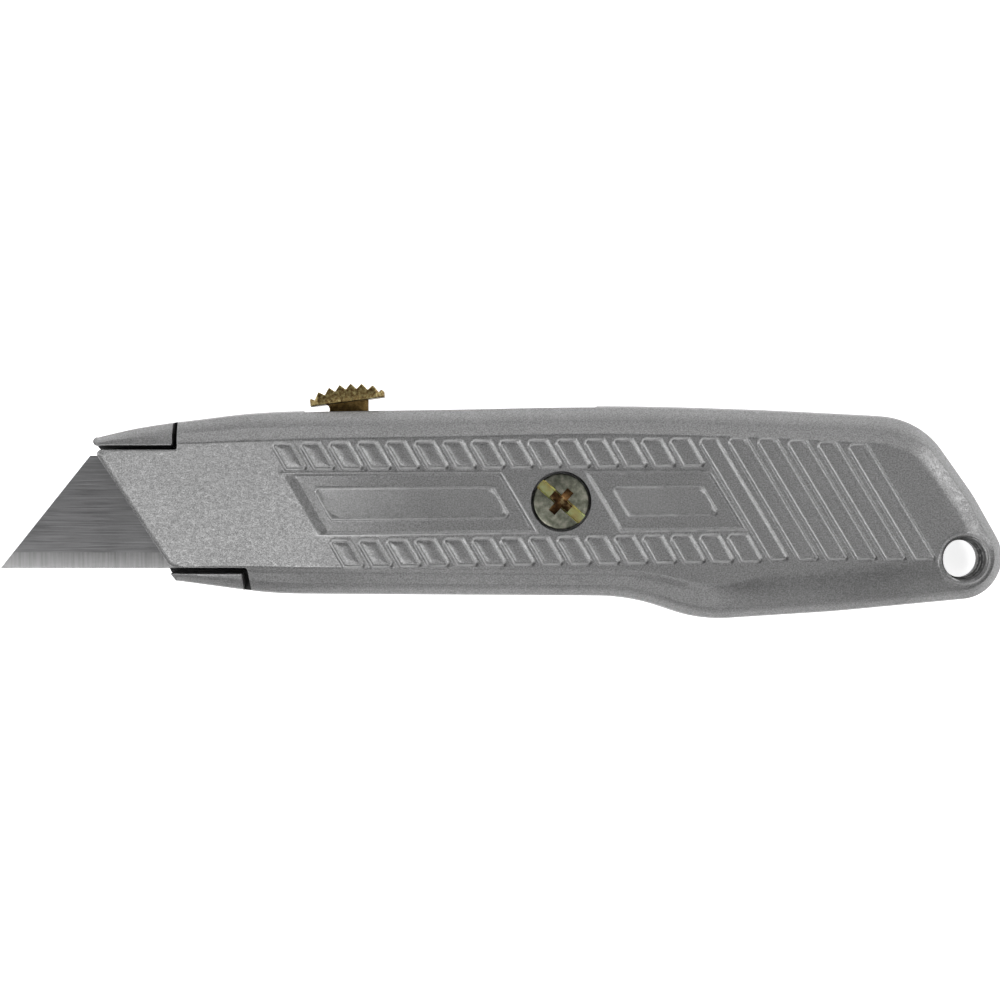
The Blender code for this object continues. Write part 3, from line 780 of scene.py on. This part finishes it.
CAVITY = handle_cavity()
HANG_BOSS = circle(HANG_XY, HANG_BOSS_R, 48)
SCREW_BOSS = circle(SCREW_XY, BOSS_R, 48)
SLOT = [(SLOT_X[0], SLOT_Y), (SLOT_X[1], SLOT_Y), (SLOT_X[1], 20), (SLOT_X[0], 20)]
CHANNEL = [(CHANNEL_REAR, 8.6), (PAST_TIP, 8.6), (PAST_TIP, -11.75), (CHANNEL_REAR, -11.75)]
CARRIAGE_WAY = [(-53, 4.6), (CHANNEL_REAR, 4.6), (CHANNEL_REAR, 11.4), (-53, 11.4)]
PLATE_RECESS = [(-64.6, 8.6), (-56.0, -6.6), (CHANNEL_REAR, -6.6), (CHANNEL_REAR, 8.6)]


def set_back_slot(ring, closed):
    """Draw the outline in a little along the button's slot."""
    in_slot = (ring[:, 1] > SLOT_Y) & (ring[:, 0] > SLOT_X[0]) & (ring[:, 0] < SLOT_X[1])
    ring[in_slot] += left_normals(ring, closed)[in_slot] * SLOT_SETBACK


def near_boundary():
    """Outline of the half with the screw head, and the rims that run round its nose."""
    low_mouth, top_mouth = NOTCH_MOUTHS
    ring = np.roll(OUTLINE, -distance_from(OUTLINE, low_mouth).argmin(), 0)
    ring = ring[:distance_from(ring, top_mouth).argmin() + 1].copy()
    ring[-1, 0] = TOP_NOTCH_END
    set_back_slot(ring, False)
    top_corner = (TOP_NOTCH_END, NOSE_TIP[1])
    corners = zip((top_corner, NOSE_TIP, NOSE_FOOT, BOTTOM_NOTCH_END), NOSE_RADII)
    arcs = fillets([(ring[-1], 0.0), *corners, (ring[0], 0.0)], 8.0)
    nose = resample([ring[-1]] + sum(arcs, []) + [ring[0]], OUTLINE_STEP, False)
    front = resample(arcs[1] + arcs[2], OUTLINE_STEP, False)
    return np.vstack([ring[:-1], nose[:-1]]), [(nose, GAP_RIM_R), (front, FRONT_RIM_R)]


def in_circle(points, centre, radius):
    return distance_from(points, centre) < radius


def in_hollow(points):
    """Which points lie in the cavity, clear of the bosses."""
    on_boss = in_circle(points, HANG_XY, HANG_BOSS_R) | in_circle(points, SCREW_XY, BOSS_R)
    return inside(points, CAVITY) & ~on_boss


def left_housing():
    """The half with the screw's counterbore, whose nose is notched for the other half's lugs."""
    boundary, rims = near_boundary()
    collar_r = COUNTERBORE_R + COUNTERBORE_WALL[0]

    def upper(points):
        height = HALF + face_height(points, rims, HANG_FLARE[0])
        return np.where(in_circle(points, SCREW_XY, COUNTERBORE_R), COUNTERBORE_Z, height)

    def lower(points):
        ceiling = np.minimum(HALF + CAVITY_DEPTH * taper(points), upper(points) - SKIN)
        hollow = in_hollow(points)
        height = np.where(hollow, ceiling, SEAM_NEAR)
        height[hollow & in_circle(points, SCREW_XY, collar_r)] = COUNTERBORE_Z - COUNTERBORE_WALL[1]
        cuts = ((SLOT, SLOT_HALF_WIDTH), (CHANNEL, CHANNEL_DEPTH), (CARRIAGE_WAY, CARRIAGE_DEPTHS[0]))
        for region, depth in cuts:
            cut = inside(points, region)
            height[cut] = np.maximum(height[cut], HALF + depth)
        return height

    upper_paths = edge_paths() + relief_paths() + rim_paths(rims) + hang_paths(HANG_FLARE[0])
    upper_paths += [(circle(SCREW_XY, COUNTERBORE_R + gap, 96), True) for gap in (-0.03, 0.03)]
    lower_paths = []
    for region in (CAVITY, HANG_BOSS, SCREW_BOSS, SLOT, CHANNEL, CARRIAGE_WAY):
        lower_paths += step_paths(region)
    lower_paths += step_paths(circle(SCREW_XY, collar_r, 48))
    lower_paths.append((closed_offset(CAVITY, 1.0), True))
    loops = [boundary, circle(SCREW_XY, SHANK_HOLE_R, 48), circle(HANG_XY, HANG_R, 96)]
    return shell("left_shell", loops, upper, upper_paths, lower, lower_paths)


def nose_lugs():
    """Outlines of the far half's two lugs, which fill the near half's notches past the gaps."""
    rear, foot = TOP_NOTCH_END - LUG_GAP, NOSE_TIP[1] + LUG_GAP - 0.1
    top_lug = [(PAST_TIP, foot), (rear, foot), (rear, 30), (PAST_TIP, 30)]
    rear, foot = BOTTOM_NOTCH_END[0] - LUG_GAP, BOTTOM_NOTCH_END[1] - LUG_GAP - 0.2
    bottom_lug = [(PAST_TIP, -40), (rear + 0.9, -40), (rear, foot), (PAST_TIP, foot)]
    return [resample(rounded(lug, (LUG_RIM_R,) * 4), 1.0, True) for lug in (top_lug, bottom_lug)]


def right_housing():
    """The half that the knife lies on, with the two lugs and the shelves under the spare blades."""
    rims = [(FRONT, FRONT_RIM_R)]
    lugs = nose_lugs()
    low, high = SHELF_Y
    shelves = [[(x, low), (x + SHELF_WIDTH, low), (x + SHELF_WIDTH, high), (x, high)] for x in SHELF_X]

    def outer(points):
        return HALF - face_height(points, rims, HANG_FLARE[1])

    def upper(points):
        floor = np.maximum(HALF - CAVITY_DEPTH * taper(points), outer(points) + SKIN)
        hollow = in_hollow(points)
        height = np.where(hollow, floor, SEAM_FAR)
        for shelf in shelves:
            height[hollow & inside(points, shelf)] = SHELF_TOP
        height[in_circle(points, SCREW_XY, PILOT[0])] = PILOT[1]
        cuts = ((SLOT, SLOT_HALF_WIDTH), (CHANNEL, CHANNEL_DEPTH), (CARRIAGE_WAY, CARRIAGE_DEPTHS[1]),
                (PLATE_RECESS, RECESS_DEPTH))
        for region, depth in cuts:
            cut = inside(points, region)
            height[cut] = np.minimum(height[cut], HALF - depth)
        for lug in lugs:
            on_lug = np.flatnonzero(inside(points, lug))
            spot = points[on_lug]
            top = np.minimum(edge_height(spot, lug=True), rim_height(spot, FRONT, LUG_TIP_R))
            near_edge = np.maximum(LUG_RIM_R - nearest(spot, lug)[0], 0)
            top -= LUG_RIM_R - np.sqrt(np.maximum(LUG_RIM_R ** 2 - near_edge ** 2, 0))
            height[on_lug] = HALF + top * taper(spot)
        return height

    upper_paths = []
    for region in (CAVITY, HANG_BOSS, SCREW_BOSS, SLOT, CHANNEL, CARRIAGE_WAY, PLATE_RECESS, *shelves):
        upper_paths += step_paths(region)
    upper_paths += step_paths(circle(SCREW_XY, PILOT[0], 32))
    for path, _ in edge_paths():
        beside = (path[:, 1] > LUG_CLEAR_Y[0]) | (path[:, 1] < LUG_CLEAR_Y[1])
        upper_paths += runs_where(path, (path[:, 0] < BOTTOM_NOTCH_END[0]) & beside)
    for lug in lugs:
        for amount in (-0.03, 0.01, 0.04, 0.1, 0.19, 0.3):
            upper_paths += offset(lug, amount)
    upper_paths += rim_paths([(FRONT, LUG_TIP_R)])
    lower_paths = edge_paths() + relief_paths() + rim_paths(rims) + hang_paths(HANG_FLARE[1])
    boundary = OUTLINE.copy()
    set_back_slot(boundary, True)
    loops = [boundary, circle(HANG_XY, HANG_R, 96)]
    return shell("right_shell", loops, upper, upper_paths, outer, lower_paths)


# ---------------------------------------------------------------- blade, screw and thumb button

def utility_blade():
    """Trapezoid blade with two notches in its back and both faces ground down to the edge."""
    low, high = box_mm("blade")
    middle, half = (low[0] + high[0]) / 2, (high[2] - low[2]) / 2
    spacing, width, depth = BLADE_NOTCH
    corners = [(low[0], low[1]), (high[0], low[1]), (high[0] - BLADE_SLOPE, high[1])]
    for x in (middle + spacing / 2, middle - spacing / 2):
        corners += [(x + width / 2, high[1]), (x + width / 2, high[1] - depth),
                    (x - width / 2, high[1] - depth), (x - width / 2, high[1])]
    corners.append((low[0] + BLADE_SLOPE, high[1]))
    radii = [0.05, 0.05, 0.15] + [0.15, 0.6, 0.6, 0.15] * 2 + [0.15]
    loop = resample(rounded(corners, radii), 1.0, True)
    heights = [0.0, EDGE_BEVEL, BLADE_BEVEL]
    edge, *shares = BLADE_THICKNESS
    thickness = [edge] + [half * share for share in shares]

    def face(points):
        back = half - BLADE_RIM * np.clip(1 - nearest(points, loop)[0] / BLADE_RIM, 0, 1)
        return np.minimum(np.interp(points[:, 1] - low[1], heights, thickness), back)

    across = [[(low[0] - 1, low[1] + y), (high[0] + 1, low[1] + y)] for y in heights[1:]]
    paths = [(resample(line, 1.0, False), False) for line in across] + offset(loop, BLADE_RIM)
    return shell("utility_blade", [loop], lambda p: HALF + face(p), paths, lambda p: HALF - face(p), paths)


def blade_finish(centres):
    """1 on the ground bevel."""
    return centres[:, 1] < box_mm("blade")[0][1] + BLADE_BEVEL


def turned_frame(points, centre, degrees):
    """Place of each point along and across a turned axis through a centre."""
    turn = math.radians(degrees)
    x, y = points[:, 0] - centre[0], points[:, 1] - centre[1]
    return x * math.cos(turn) + y * math.sin(turn), y * math.cos(turn) - x * math.sin(turn)


def drive_box(length, width):
    """Rectangle centred on the screw, along its slot."""
    turn = math.radians(DRIVE_ANGLE)
    u, v = np.array([math.cos(turn), math.sin(turn)]), np.array([-math.sin(turn), math.cos(turn)])
    return [tuple(np.array(SCREW_XY) + a * length / 2 * u + b * width / 2 * v)
            for a, b in ((-1, -1), (1, -1), (1, 1), (-1, 1))]


def recess_depth(points):
    """Depth of the cross-shaped recess, deepest at its middle."""
    u, v = turned_frame(points, SCREW_XY, DRIVE_ANGLE)
    reach = np.maximum(np.abs(u) / (CROSS_LENGTH[0] / 2), np.abs(v) / (CROSS_LENGTH[1] / 2))
    in_arm = (np.minimum(np.abs(u), np.abs(v)) < CROSS_WIDTH / 2) & (reach < 1)
    pit_reach, pit_slope = CROSS_PIT
    return np.where(in_arm, CROSS_DEPTH + pit_slope * np.clip(pit_reach - reach, 0, 1), 0.0)


def screw():
    """Round-headed screw with a straight slot and a cross recess in its domed head."""
    low, high = box_mm("housing_screw")
    radius, crown = (high[0] - low[0]) / 2, high[2]
    head = circle(SCREW_XY, radius, 96)

    def upper(points):
        r = distance_from(points, SCREW_XY)
        z = crown - SCREW_DOME * (r / radius) ** 2
        shoulder = np.maximum(SCREW_SHOULDER - (radius - r), 0)
        z -= SCREW_SHOULDER - np.sqrt(np.maximum(SCREW_SHOULDER ** 2 - shoulder ** 2, 0))
        _, across = turned_frame(points, SCREW_XY, DRIVE_ANGLE)
        wall = np.clip((np.abs(across) - DRIVE_SLOT[0] / 2) / DRIVE_CHAMFER, 0, 1)
        z = np.minimum(z, crown - DRIVE_SLOT[1] + DRIVE_SLOT[1] * wall + 0.4 * (wall == 1))
        return np.minimum(z, np.where(recess_depth(points) > 0, crown - recess_depth(points), z))

    def lower(points):
        r = distance_from(points, SCREW_XY)
        tip = low[2] + 0.6 * np.clip((r - SHANK_R + 0.5) / 0.5, 0, 1)
        return np.where(r < SHANK_R, tip, COUNTERBORE_Z + 0.15)

    insets = (0.02, 0.06, 0.12, 0.2, 0.3, 0.45)
    upper_paths = [(circle(SCREW_XY, radius - inset, 96), True) for inset in insets]
    upper_paths += [(circle(SCREW_XY, radius * share, 64), True) for share in (0.2, 0.4, 0.6, 0.8)]
    for side in (-1, 1):
        for reach in (0.0, 0.5, 1.0):
            across = side * (DRIVE_SLOT[0] / 2 + DRIVE_CHAMFER * reach)
            a, b, c, d = drive_box(2 * radius + 1, 2 * abs(across))
            upper_paths.append((resample([a, b] if side < 0 else [c, d], 0.4, False), False))
    for grow in (-0.06, 0.02):
        for box in (drive_box(CROSS_LENGTH[0] + grow, CROSS_WIDTH + grow),
                    drive_box(CROSS_WIDTH + grow, CROSS_LENGTH[1] + grow)):
            upper_paths.append((resample(box, 0.2, True), True))
    lower_paths = [(circle(SCREW_XY, SHANK_R + grow, 48), True) for grow in (-0.5, -0.02, 0.02)]
    return shell("screw", [head], upper, upper_paths, lower, lower_paths)


def screw_finish(centres):
    """1 in the slot, 2 in the cross recess, which takes a brown darkened by painted shade."""
    _, across = turned_frame(centres, SCREW_XY, DRIVE_ANGLE)
    on_top = centres[:, 2] > COUNTERBORE_Z + 0.2
    slotted = on_top & (np.abs(across) < DRIVE_SLOT[0] / 2 + DRIVE_CHAMFER)
    return np.where(on_top & (recess_depth(centres) > 0), 2, np.where(slotted, 1, 0))


def on_button(points):
    """Points of the button's own frame, placed on the knife."""
    turn = Matrix.Rotation(math.radians(BUTTON_TILT), 2)
    return [tuple(turn @ Vector(p) + Vector(BUTTON_MID)) for p in points]


def button_outline():
    """Side view of the thumb button as one loop, and the loop of its head alone, both anticlockwise."""
    half = BUTTON_LENGTH / 2

    def crown(x):
        return BUTTON_CROWN - x ** 2 / (2 * BUTTON_CROWN_R)

    top = [(half, 0.0), (half + 0.05, crown(half) - 0.55), (half - 0.35, crown(half) - 0.1)]
    radii = [0.15, 0.15, 0.2]
    first = (TOOTH_COUNT - 1) / 2 * TOOTH_PITCH
    for i in range(TOOTH_COUNT + 1):
        valley = first + TOOTH_PITCH / 2 - i * TOOTH_PITCH
        top.append((valley, crown(valley) - TOOTH_DEPTH))
        radii.append(0.12)
        if i < TOOTH_COUNT:
            peak = valley - TOOTH_PITCH / 2
            top.append((peak + 0.02 * peak, crown(peak)))
            radii.append(0.16)
    top += [(-half + 0.1, crown(half) - 0.1), (-half, crown(half) - 0.55), (-half, 0.0)]
    radii += [0.2, 0.15, 0.15]
    head = rounded(on_button(top), radii, 20.0)
    x0, x1 = NECK_X
    slope = math.tan(math.radians(BUTTON_TILT))
    under = [BUTTON_MID[1] + (x - BUTTON_MID[0]) * slope for x in (x0, x1)]
    neck = [(x0, NECK_BOTTOM), (x1, NECK_BOTTOM), (x1, under[1])]
    flare = fillet((x0, NECK_BOTTOM), (x0, under[0]), (x0 - 2, under[0] - 2 * slope), NECK_FLARE, 15.0)
    whole = rounded(neck + on_button(top), [0.05, 0.05, 0.15] + radii, 20.0) + flare[::-1]
    return resample(whole, 0.25, True), resample(head, 0.25, True)


def thumb_button():
    """Toothed head with cut corners, on a neck that reaches down through the slot."""
    whole, head = button_outline()
    half_width = (box_mm("thumb_button")[1][2] - box_mm("thumb_button")[0][2]) / 2

    def reach(points):
        along, _ = turned_frame(points, BUTTON_MID, BUTTON_TILT)
        cut = np.clip(np.abs(along) - BUTTON_LENGTH / 2 + BUTTON_CORNER, 0, None)
        on_head = inside(points, head) | (nearest(points, head)[0] < 0.01)
        wide = np.where(on_head, half_width - cut * BUTTON_CORNER_SLOPE, NECK_HALF_WIDTH)
        rim = np.maximum(BUTTON_RIM - nearest(points, whole)[0], 0)
        rim = np.where(on_head, np.maximum(rim, BUTTON_RIM - nearest(points, head)[0]), rim)
        return wide - BUTTON_RIM + np.sqrt(np.maximum(BUTTON_RIM ** 2 - rim ** 2, 0))

    paths = [run for level in (0.06, 0.2, 0.45, 1.0) for run in offset(whole, level * BUTTON_RIM)]
    paths += [run for level in (-0.2, 0.0, 0.2, 0.45, 1.0) for run in offset(head, level * BUTTON_RIM)]
    for x in (BUTTON_CORNER - BUTTON_LENGTH / 2, BUTTON_LENGTH / 2 - BUTTON_CORNER):
        paths.append((resample(on_button([(x, 0), (x, BUTTON_CROWN + 1)]), 0.3, False), False))
    return shell("button", [whole], lambda p: HALF + reach(p), paths, lambda p: HALF - reach(p), paths)


def button_finish(centres):
    """1 on the neck, which takes the painted shade."""
    return turned_frame(centres, BUTTON_MID, BUTTON_TILT)[1] < -0.02


# ---------------------------------------------------------------- materials

def node_material(name):
    material = bpy.data.materials.new(name)
    material.use_nodes = True
    tree = material.node_tree
    return material, tree, tree.nodes["Principled BSDF"]


def add(tree, kind, **inputs):
    node = tree.nodes.new(kind)
    for key, value in inputs.items():
        node.inputs[key].default_value = value
    return node


def object_coordinates(tree, stretch=(1.0, 1.0, 1.0)):
    place = tree.nodes.new("ShaderNodeTexCoord")
    mapping = add(tree, "ShaderNodeMapping", Scale=stretch)
    tree.links.new(place.outputs["Object"], mapping.inputs["Vector"])
    return mapping.outputs["Vector"]


def noise(tree, vector, scale, detail=2.0, roughness=0.5):
    node = add(tree, "ShaderNodeTexNoise", Scale=scale, Detail=detail, Roughness=roughness)
    tree.links.new(vector, node.inputs["Vector"])
    return node.outputs["Fac"]


def ramp(tree, fac, stops):
    node = tree.nodes.new("ShaderNodeValToRGB")
    elements = node.color_ramp.elements
    while len(elements) < len(stops):
        elements.new(0.5)
    for element, (position, colour) in zip(elements, stops):
        element.position = position
        element.color = (*colour, 1.0) if isinstance(colour, tuple) else (colour, colour, colour, 1.0)
    tree.links.new(fac, node.inputs["Fac"])
    return node.outputs["Color"]


def mix_colours(tree, a, b, blend, share=None):
    """The second colour over the first, fully or by a share taken from another node."""
    node = tree.nodes.new("ShaderNodeMix")
    node.data_type = "RGBA"
    node.blend_type = blend
    node.inputs["Factor"].default_value = 1.0
    if share:
        tree.links.new(share, node.inputs["Factor"])
    tree.links.new(a, node.inputs["A"])
    tree.links.new(b, node.inputs["B"])
    return node.outputs["Result"]


def bump(tree, height, distance, strength=1.0, after=None):
    node = add(tree, "ShaderNodeBump", Strength=strength, Distance=distance)
    tree.links.new(height, node.inputs["Height"])
    if after is not None:
        tree.links.new(after, node.inputs["Normal"])
    return node.outputs["Normal"]


def finish_metal(tree, shader, colour, gloss_by, gloss, normal, metallic=1.0):
    """Wire up a metal's colour, its roughness between two values, and its normal."""
    tree.links.new(colour, shader.inputs["Base Color"])
    tree.links.new(ramp(tree, gloss_by, [(0.3, gloss[0]), (0.7, gloss[1])]), shader.inputs["Roughness"])
    tree.links.new(normal, shader.inputs["Normal"])
    shader.inputs["Metallic"].default_value = metallic


def silver_paint():
    """Metallic silver paint over a die casting: coarse flakes, with a painted highlight along the relief's
    crests.
    """
    material, tree, shader = node_material("silver_paint_finish")
    place = object_coordinates(tree)
    flakes = noise(tree, place, 4200.0, 1.0, 0.6)
    peel = noise(tree, place, 1500.0, 2.0, 0.5)
    cloud = noise(tree, place, 90.0, 3.0, 0.5)
    colour = ramp(tree, flakes, [(0.3, 0.161), (0.7, 0.29)])
    tint = ramp(tree, cloud, [(0.3, 0.94), (0.7, 1.0)])
    mixed = mix_colours(tree, colour, tint, "MULTIPLY")
    # Painted highlight: the stored crest share mixes in a lighter grey
    crest = tree.nodes.new("ShaderNodeAttribute")
    crest.attribute_name = HIGHLIGHT_ATTRIBUTE
    highlight_grey = ramp(tree, peel, [(0.3, 0.29), (0.7, 0.4)])
    highlit = mix_colours(tree, mixed, highlight_grey, "MIX", crest.outputs["Fac"])
    normal = bump(tree, peel, 0.00004, 0.5, bump(tree, flakes, 0.00002, 0.6))
    finish_metal(tree, shader, highlit, peel, (0.38, 0.5), normal, metallic=0.85)
    return material


def gloss_range(roughness):
    return roughness - 0.08, roughness + 0.08


def brushed_steel(name, colour, stretch, roughness, depth, spread):
    """Steel with grind marks along one direction."""
    material, tree, shader = node_material(name)
    place = object_coordinates(tree, stretch)
    marks = noise(tree, place, 110.0, 6.0, 0.65)
    cloud = noise(tree, object_coordinates(tree), 120.0, 3.0, 0.55)
    darker = tuple(c * (1 - spread) for c in colour)
    brighter = tuple(c * (1 + spread) for c in colour)
    streaks = ramp(tree, marks, [(0.32, darker), (0.68, brighter)])
    tint = ramp(tree, cloud, [(0.3, 0.92), (0.7, 1.0)])
    colour = mix_colours(tree, streaks, tint, "MULTIPLY")
    finish_metal(tree, shader, colour, marks, gloss_range(roughness), bump(tree, marks, depth, 0.6))
    return material


def plated(name, stops, scale, roughness):
    """Plating whose tint wanders over the surface, as chromate colours do."""
    material, tree, shader = node_material(name)
    place = object_coordinates(tree)
    patches = noise(tree, place, scale, 4.0, 0.6)
    grain = noise(tree, place, 6000.0, 2.0, 0.5)
    normal = bump(tree, grain, 0.00002, 0.5)
    finish_metal(tree, shader, ramp(tree, patches, stops), grain, gloss_range(roughness), normal)
    return material


def painted_shade_inside(obj, side):
    """1 on the inner faces of the half that faces up (+1) or down (-1), which take a near-black painted
    shade for the gaps between the halves.
    """
    def choose(centres):
        outward = np.array([face.normal.z for face in obj.data.polygons]) * side
        return (outward < -0.3) & ((centres[:, 2] - HALF) * side > -1.0)
    return choose


def dress(obj, *materials, choose=None):
    """Give an object its materials; choose tells which one each face takes, from the faces' centres."""
    obj.data.materials.clear()
    for material in materials:
        obj.data.materials.append(material)
    if choose is not None:
        count = len(obj.data.polygons)
        centres = np.empty(count * 3, np.float32)
        obj.data.polygons.foreach_get("center", centres)
        indices = choose(centres.reshape(count, 3) / MM)
        obj.data.polygons.foreach_set("material_index", indices.astype(np.int32))


# ---------------------------------------------------------------- the knife

silver = silver_paint()
# Near-black painted shade on the insides of the halves, where the gaps between them fall dark
inside_shade = plated("inside_painted_shade_finish", [(0.3, (0.035, 0.035, 0.036)),
                                      (0.7, (0.075, 0.075, 0.077))], 400.0, 0.6)
zinc = plated("zinc_finish", [(0.36, (0.10, 0.105, 0.08)), (0.5, (0.16, 0.165, 0.13)),
                              (0.64, (0.26, 0.255, 0.21))], 900.0, 0.4)
slot_zinc = plated("slot_finish", [(0.3, (0.30, 0.20, 0.10)), (0.45, (0.38, 0.36, 0.15)),
                                   (0.7, (0.40, 0.46, 0.26))], 500.0, 0.36)
# Brown of the cross recess, darkened to near-black as painted shade
recess_shade_brown = plated("recess_painted_shade_finish", [(0.38, (0.03, 0.015, 0.007)), (0.52, (0.085, 0.045, 0.018)),
                                        (0.68, (0.3, 0.22, 0.11))], 800.0, 0.38)
gold = plated("dichromate_finish", [(0.35, (0.12, 0.07, 0.03)), (0.5, (0.24, 0.175, 0.07)),
                                    (0.65, (0.43, 0.36, 0.17))], 2200.0, 0.34)
# The button's gold darkened as painted shade on the neck, under the head
gold_neck_shade = plated("dichromate_neck_painted_shade", [(0.3, (0.07, 0.04, 0.015)), (0.5, (0.14, 0.09, 0.03)),
                                              (0.75, (0.30, 0.20, 0.08))], 700.0, 0.34)
blade_flat = brushed_steel("blade_flat_finish", (0.217, 0.217, 0.22), (1, 85, 85), 0.38, 0.000006, 0.3)
blade_ground = brushed_steel("blade_ground_finish", (0.25, 0.25, 0.25), (22, 1, 1), 0.4, 0.00001, 0.2)
plain = plated("plain_steel_finish", [(0.3, (0.33, 0.32, 0.30)), (0.7, (0.47, 0.46, 0.43))], 300.0, 0.4)
blued = plated("spring_steel_finish", [(0.3, (0.13, 0.14, 0.17)), (0.7, (0.26, 0.26, 0.28))], 260.0, 0.3)

near_half = soft_shading(left_housing(), 38)
mark_painted_highlights(near_half, 1)
dress(near_half, silver, inside_shade, choose=painted_shade_inside(near_half, 1))
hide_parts("left_housing")
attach(near_half, "cover")

far_half = soft_shading(right_housing(), 38)
mark_painted_highlights(far_half, -1)
dress(far_half, silver, inside_shade, choose=painted_shade_inside(far_half, -1))
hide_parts("right_housing")
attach(far_half, "handle")

blade = soft_shading(utility_blade(), 20)
dress(blade, blade_flat, blade_ground, choose=blade_finish)
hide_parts("blade")
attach(blade, "slider")

screw_piece = soft_shading(screw(), 30)
dress(screw_piece, zinc, slot_zinc, recess_shade_brown, choose=screw_finish)
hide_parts("housing_screw")
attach(screw_piece, "screw")

button = soft_shading(thumb_button(), 30)
dress(button, gold, gold_neck_shade, choose=button_finish)
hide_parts("thumb_button")
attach(button, "button")

for node, finish in (("blade_carrier", plain), ("spring_rivet_front", plain), ("spring_rivet_rear", plain),
                     ("detent_spring", blued)):
    dress(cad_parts[node], finish)
for number in range(1, 6):
    dress(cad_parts[f"spare_blade_{number}"], blade_flat)

# ---------------------------------------------------------------- studio

CAMERA_HEIGHT = 0.75        # above the parting plane
LENS = 160.5
FLOOR_SIZE = 3.0
FLOOR_GLOW = 0.82
SOFTBOX_HEIGHT = 0.42
SOFTBOX_DISTANCE = 1.2
SOFTBOXES = [(270, 32, 1.8, 0.42), (225, 60, 5.0, 0.42), (135, 30, 2.2, 0.42), (180, 32, 4.0, 0.42),
             (0, 72, 1.4, 0.42), (0, 32, 0.6, 0.42), (45, 60, 0.4, 0.42), (33, 30, 4.2, 0.42),
             (90, 32, 3.8, 1.2)]     # azimuth, elevation, watts, width

scene = bpy.context.scene
camera_data = bpy.data.cameras.new("camera")
camera_data.lens = LENS
camera_data.sensor_width = 36.0
camera_data.clip_start = 0.01
camera = bpy.data.objects.new("camera", camera_data)
camera.location = (0.0, 0.0, HALF * MM + CAMERA_HEIGHT)
scene.collection.objects.link(camera)
scene.camera = camera


def make_floor():
    half = FLOOR_SIZE / 2 / MM
    floor = mesh_object("floor", [(-half, -half, -0.05), (half, -half, -0.05), (half, half, -0.05),
                                  (-half, half, -0.05)], [(0, 1, 2, 3)])
    material, tree, shader = node_material("floor_white")
    shader.inputs["Base Color"].default_value = (0.9, 0.9, 0.9, 1.0)
    shader.inputs["Roughness"].default_value = 0.9
    shader.inputs["Emission Color"].default_value = (1.0, 1.0, 1.0, 1.0)
    shader.inputs["Emission Strength"].default_value = FLOOR_GLOW
    dress(floor, material)
    return floor


def make_world():
    world = bpy.data.worlds.new("studio")
    world.use_nodes = True
    tree = world.node_tree
    background = tree.nodes["Background"]
    direction = tree.nodes.new("ShaderNodeTexCoord")
    split = tree.nodes.new("ShaderNodeSeparateXYZ")
    tree.links.new(direction.outputs["Generated"], split.inputs["Vector"])
    sky = ramp(tree, split.outputs["Z"], [(0.05, 0.24), (0.5, 0.0)])
    tree.links.new(sky, background.inputs["Color"])
    background.inputs["Strength"].default_value = 1.0
    scene.world = world


def softbox(azimuth, elevation, power, width):
    """Softbox aimed at the knife; its azimuth goes from the tail towards the thumb button."""
    light = bpy.data.lights.new(f"softbox_{azimuth}_{elevation}", "AREA")
    light.shape = "RECTANGLE"
    light.size, light.size_y = width, SOFTBOX_HEIGHT
    light.energy = power
    obj = bpy.data.objects.new(light.name, light)
    turn, tilt = math.radians(azimuth), math.radians(elevation)
    obj.location = Vector((math.cos(tilt) * math.cos(turn), math.cos(tilt) * math.sin(turn),
                           math.sin(tilt))) * SOFTBOX_DISTANCE
    obj.rotation_euler = (-obj.location).to_track_quat("-Z", "Y").to_euler()
    scene.collection.objects.link(obj)


make_floor()
make_world()
for placing in SOFTBOXES:
    softbox(*placing)
scene.view_settings.view_transform = "Standard"
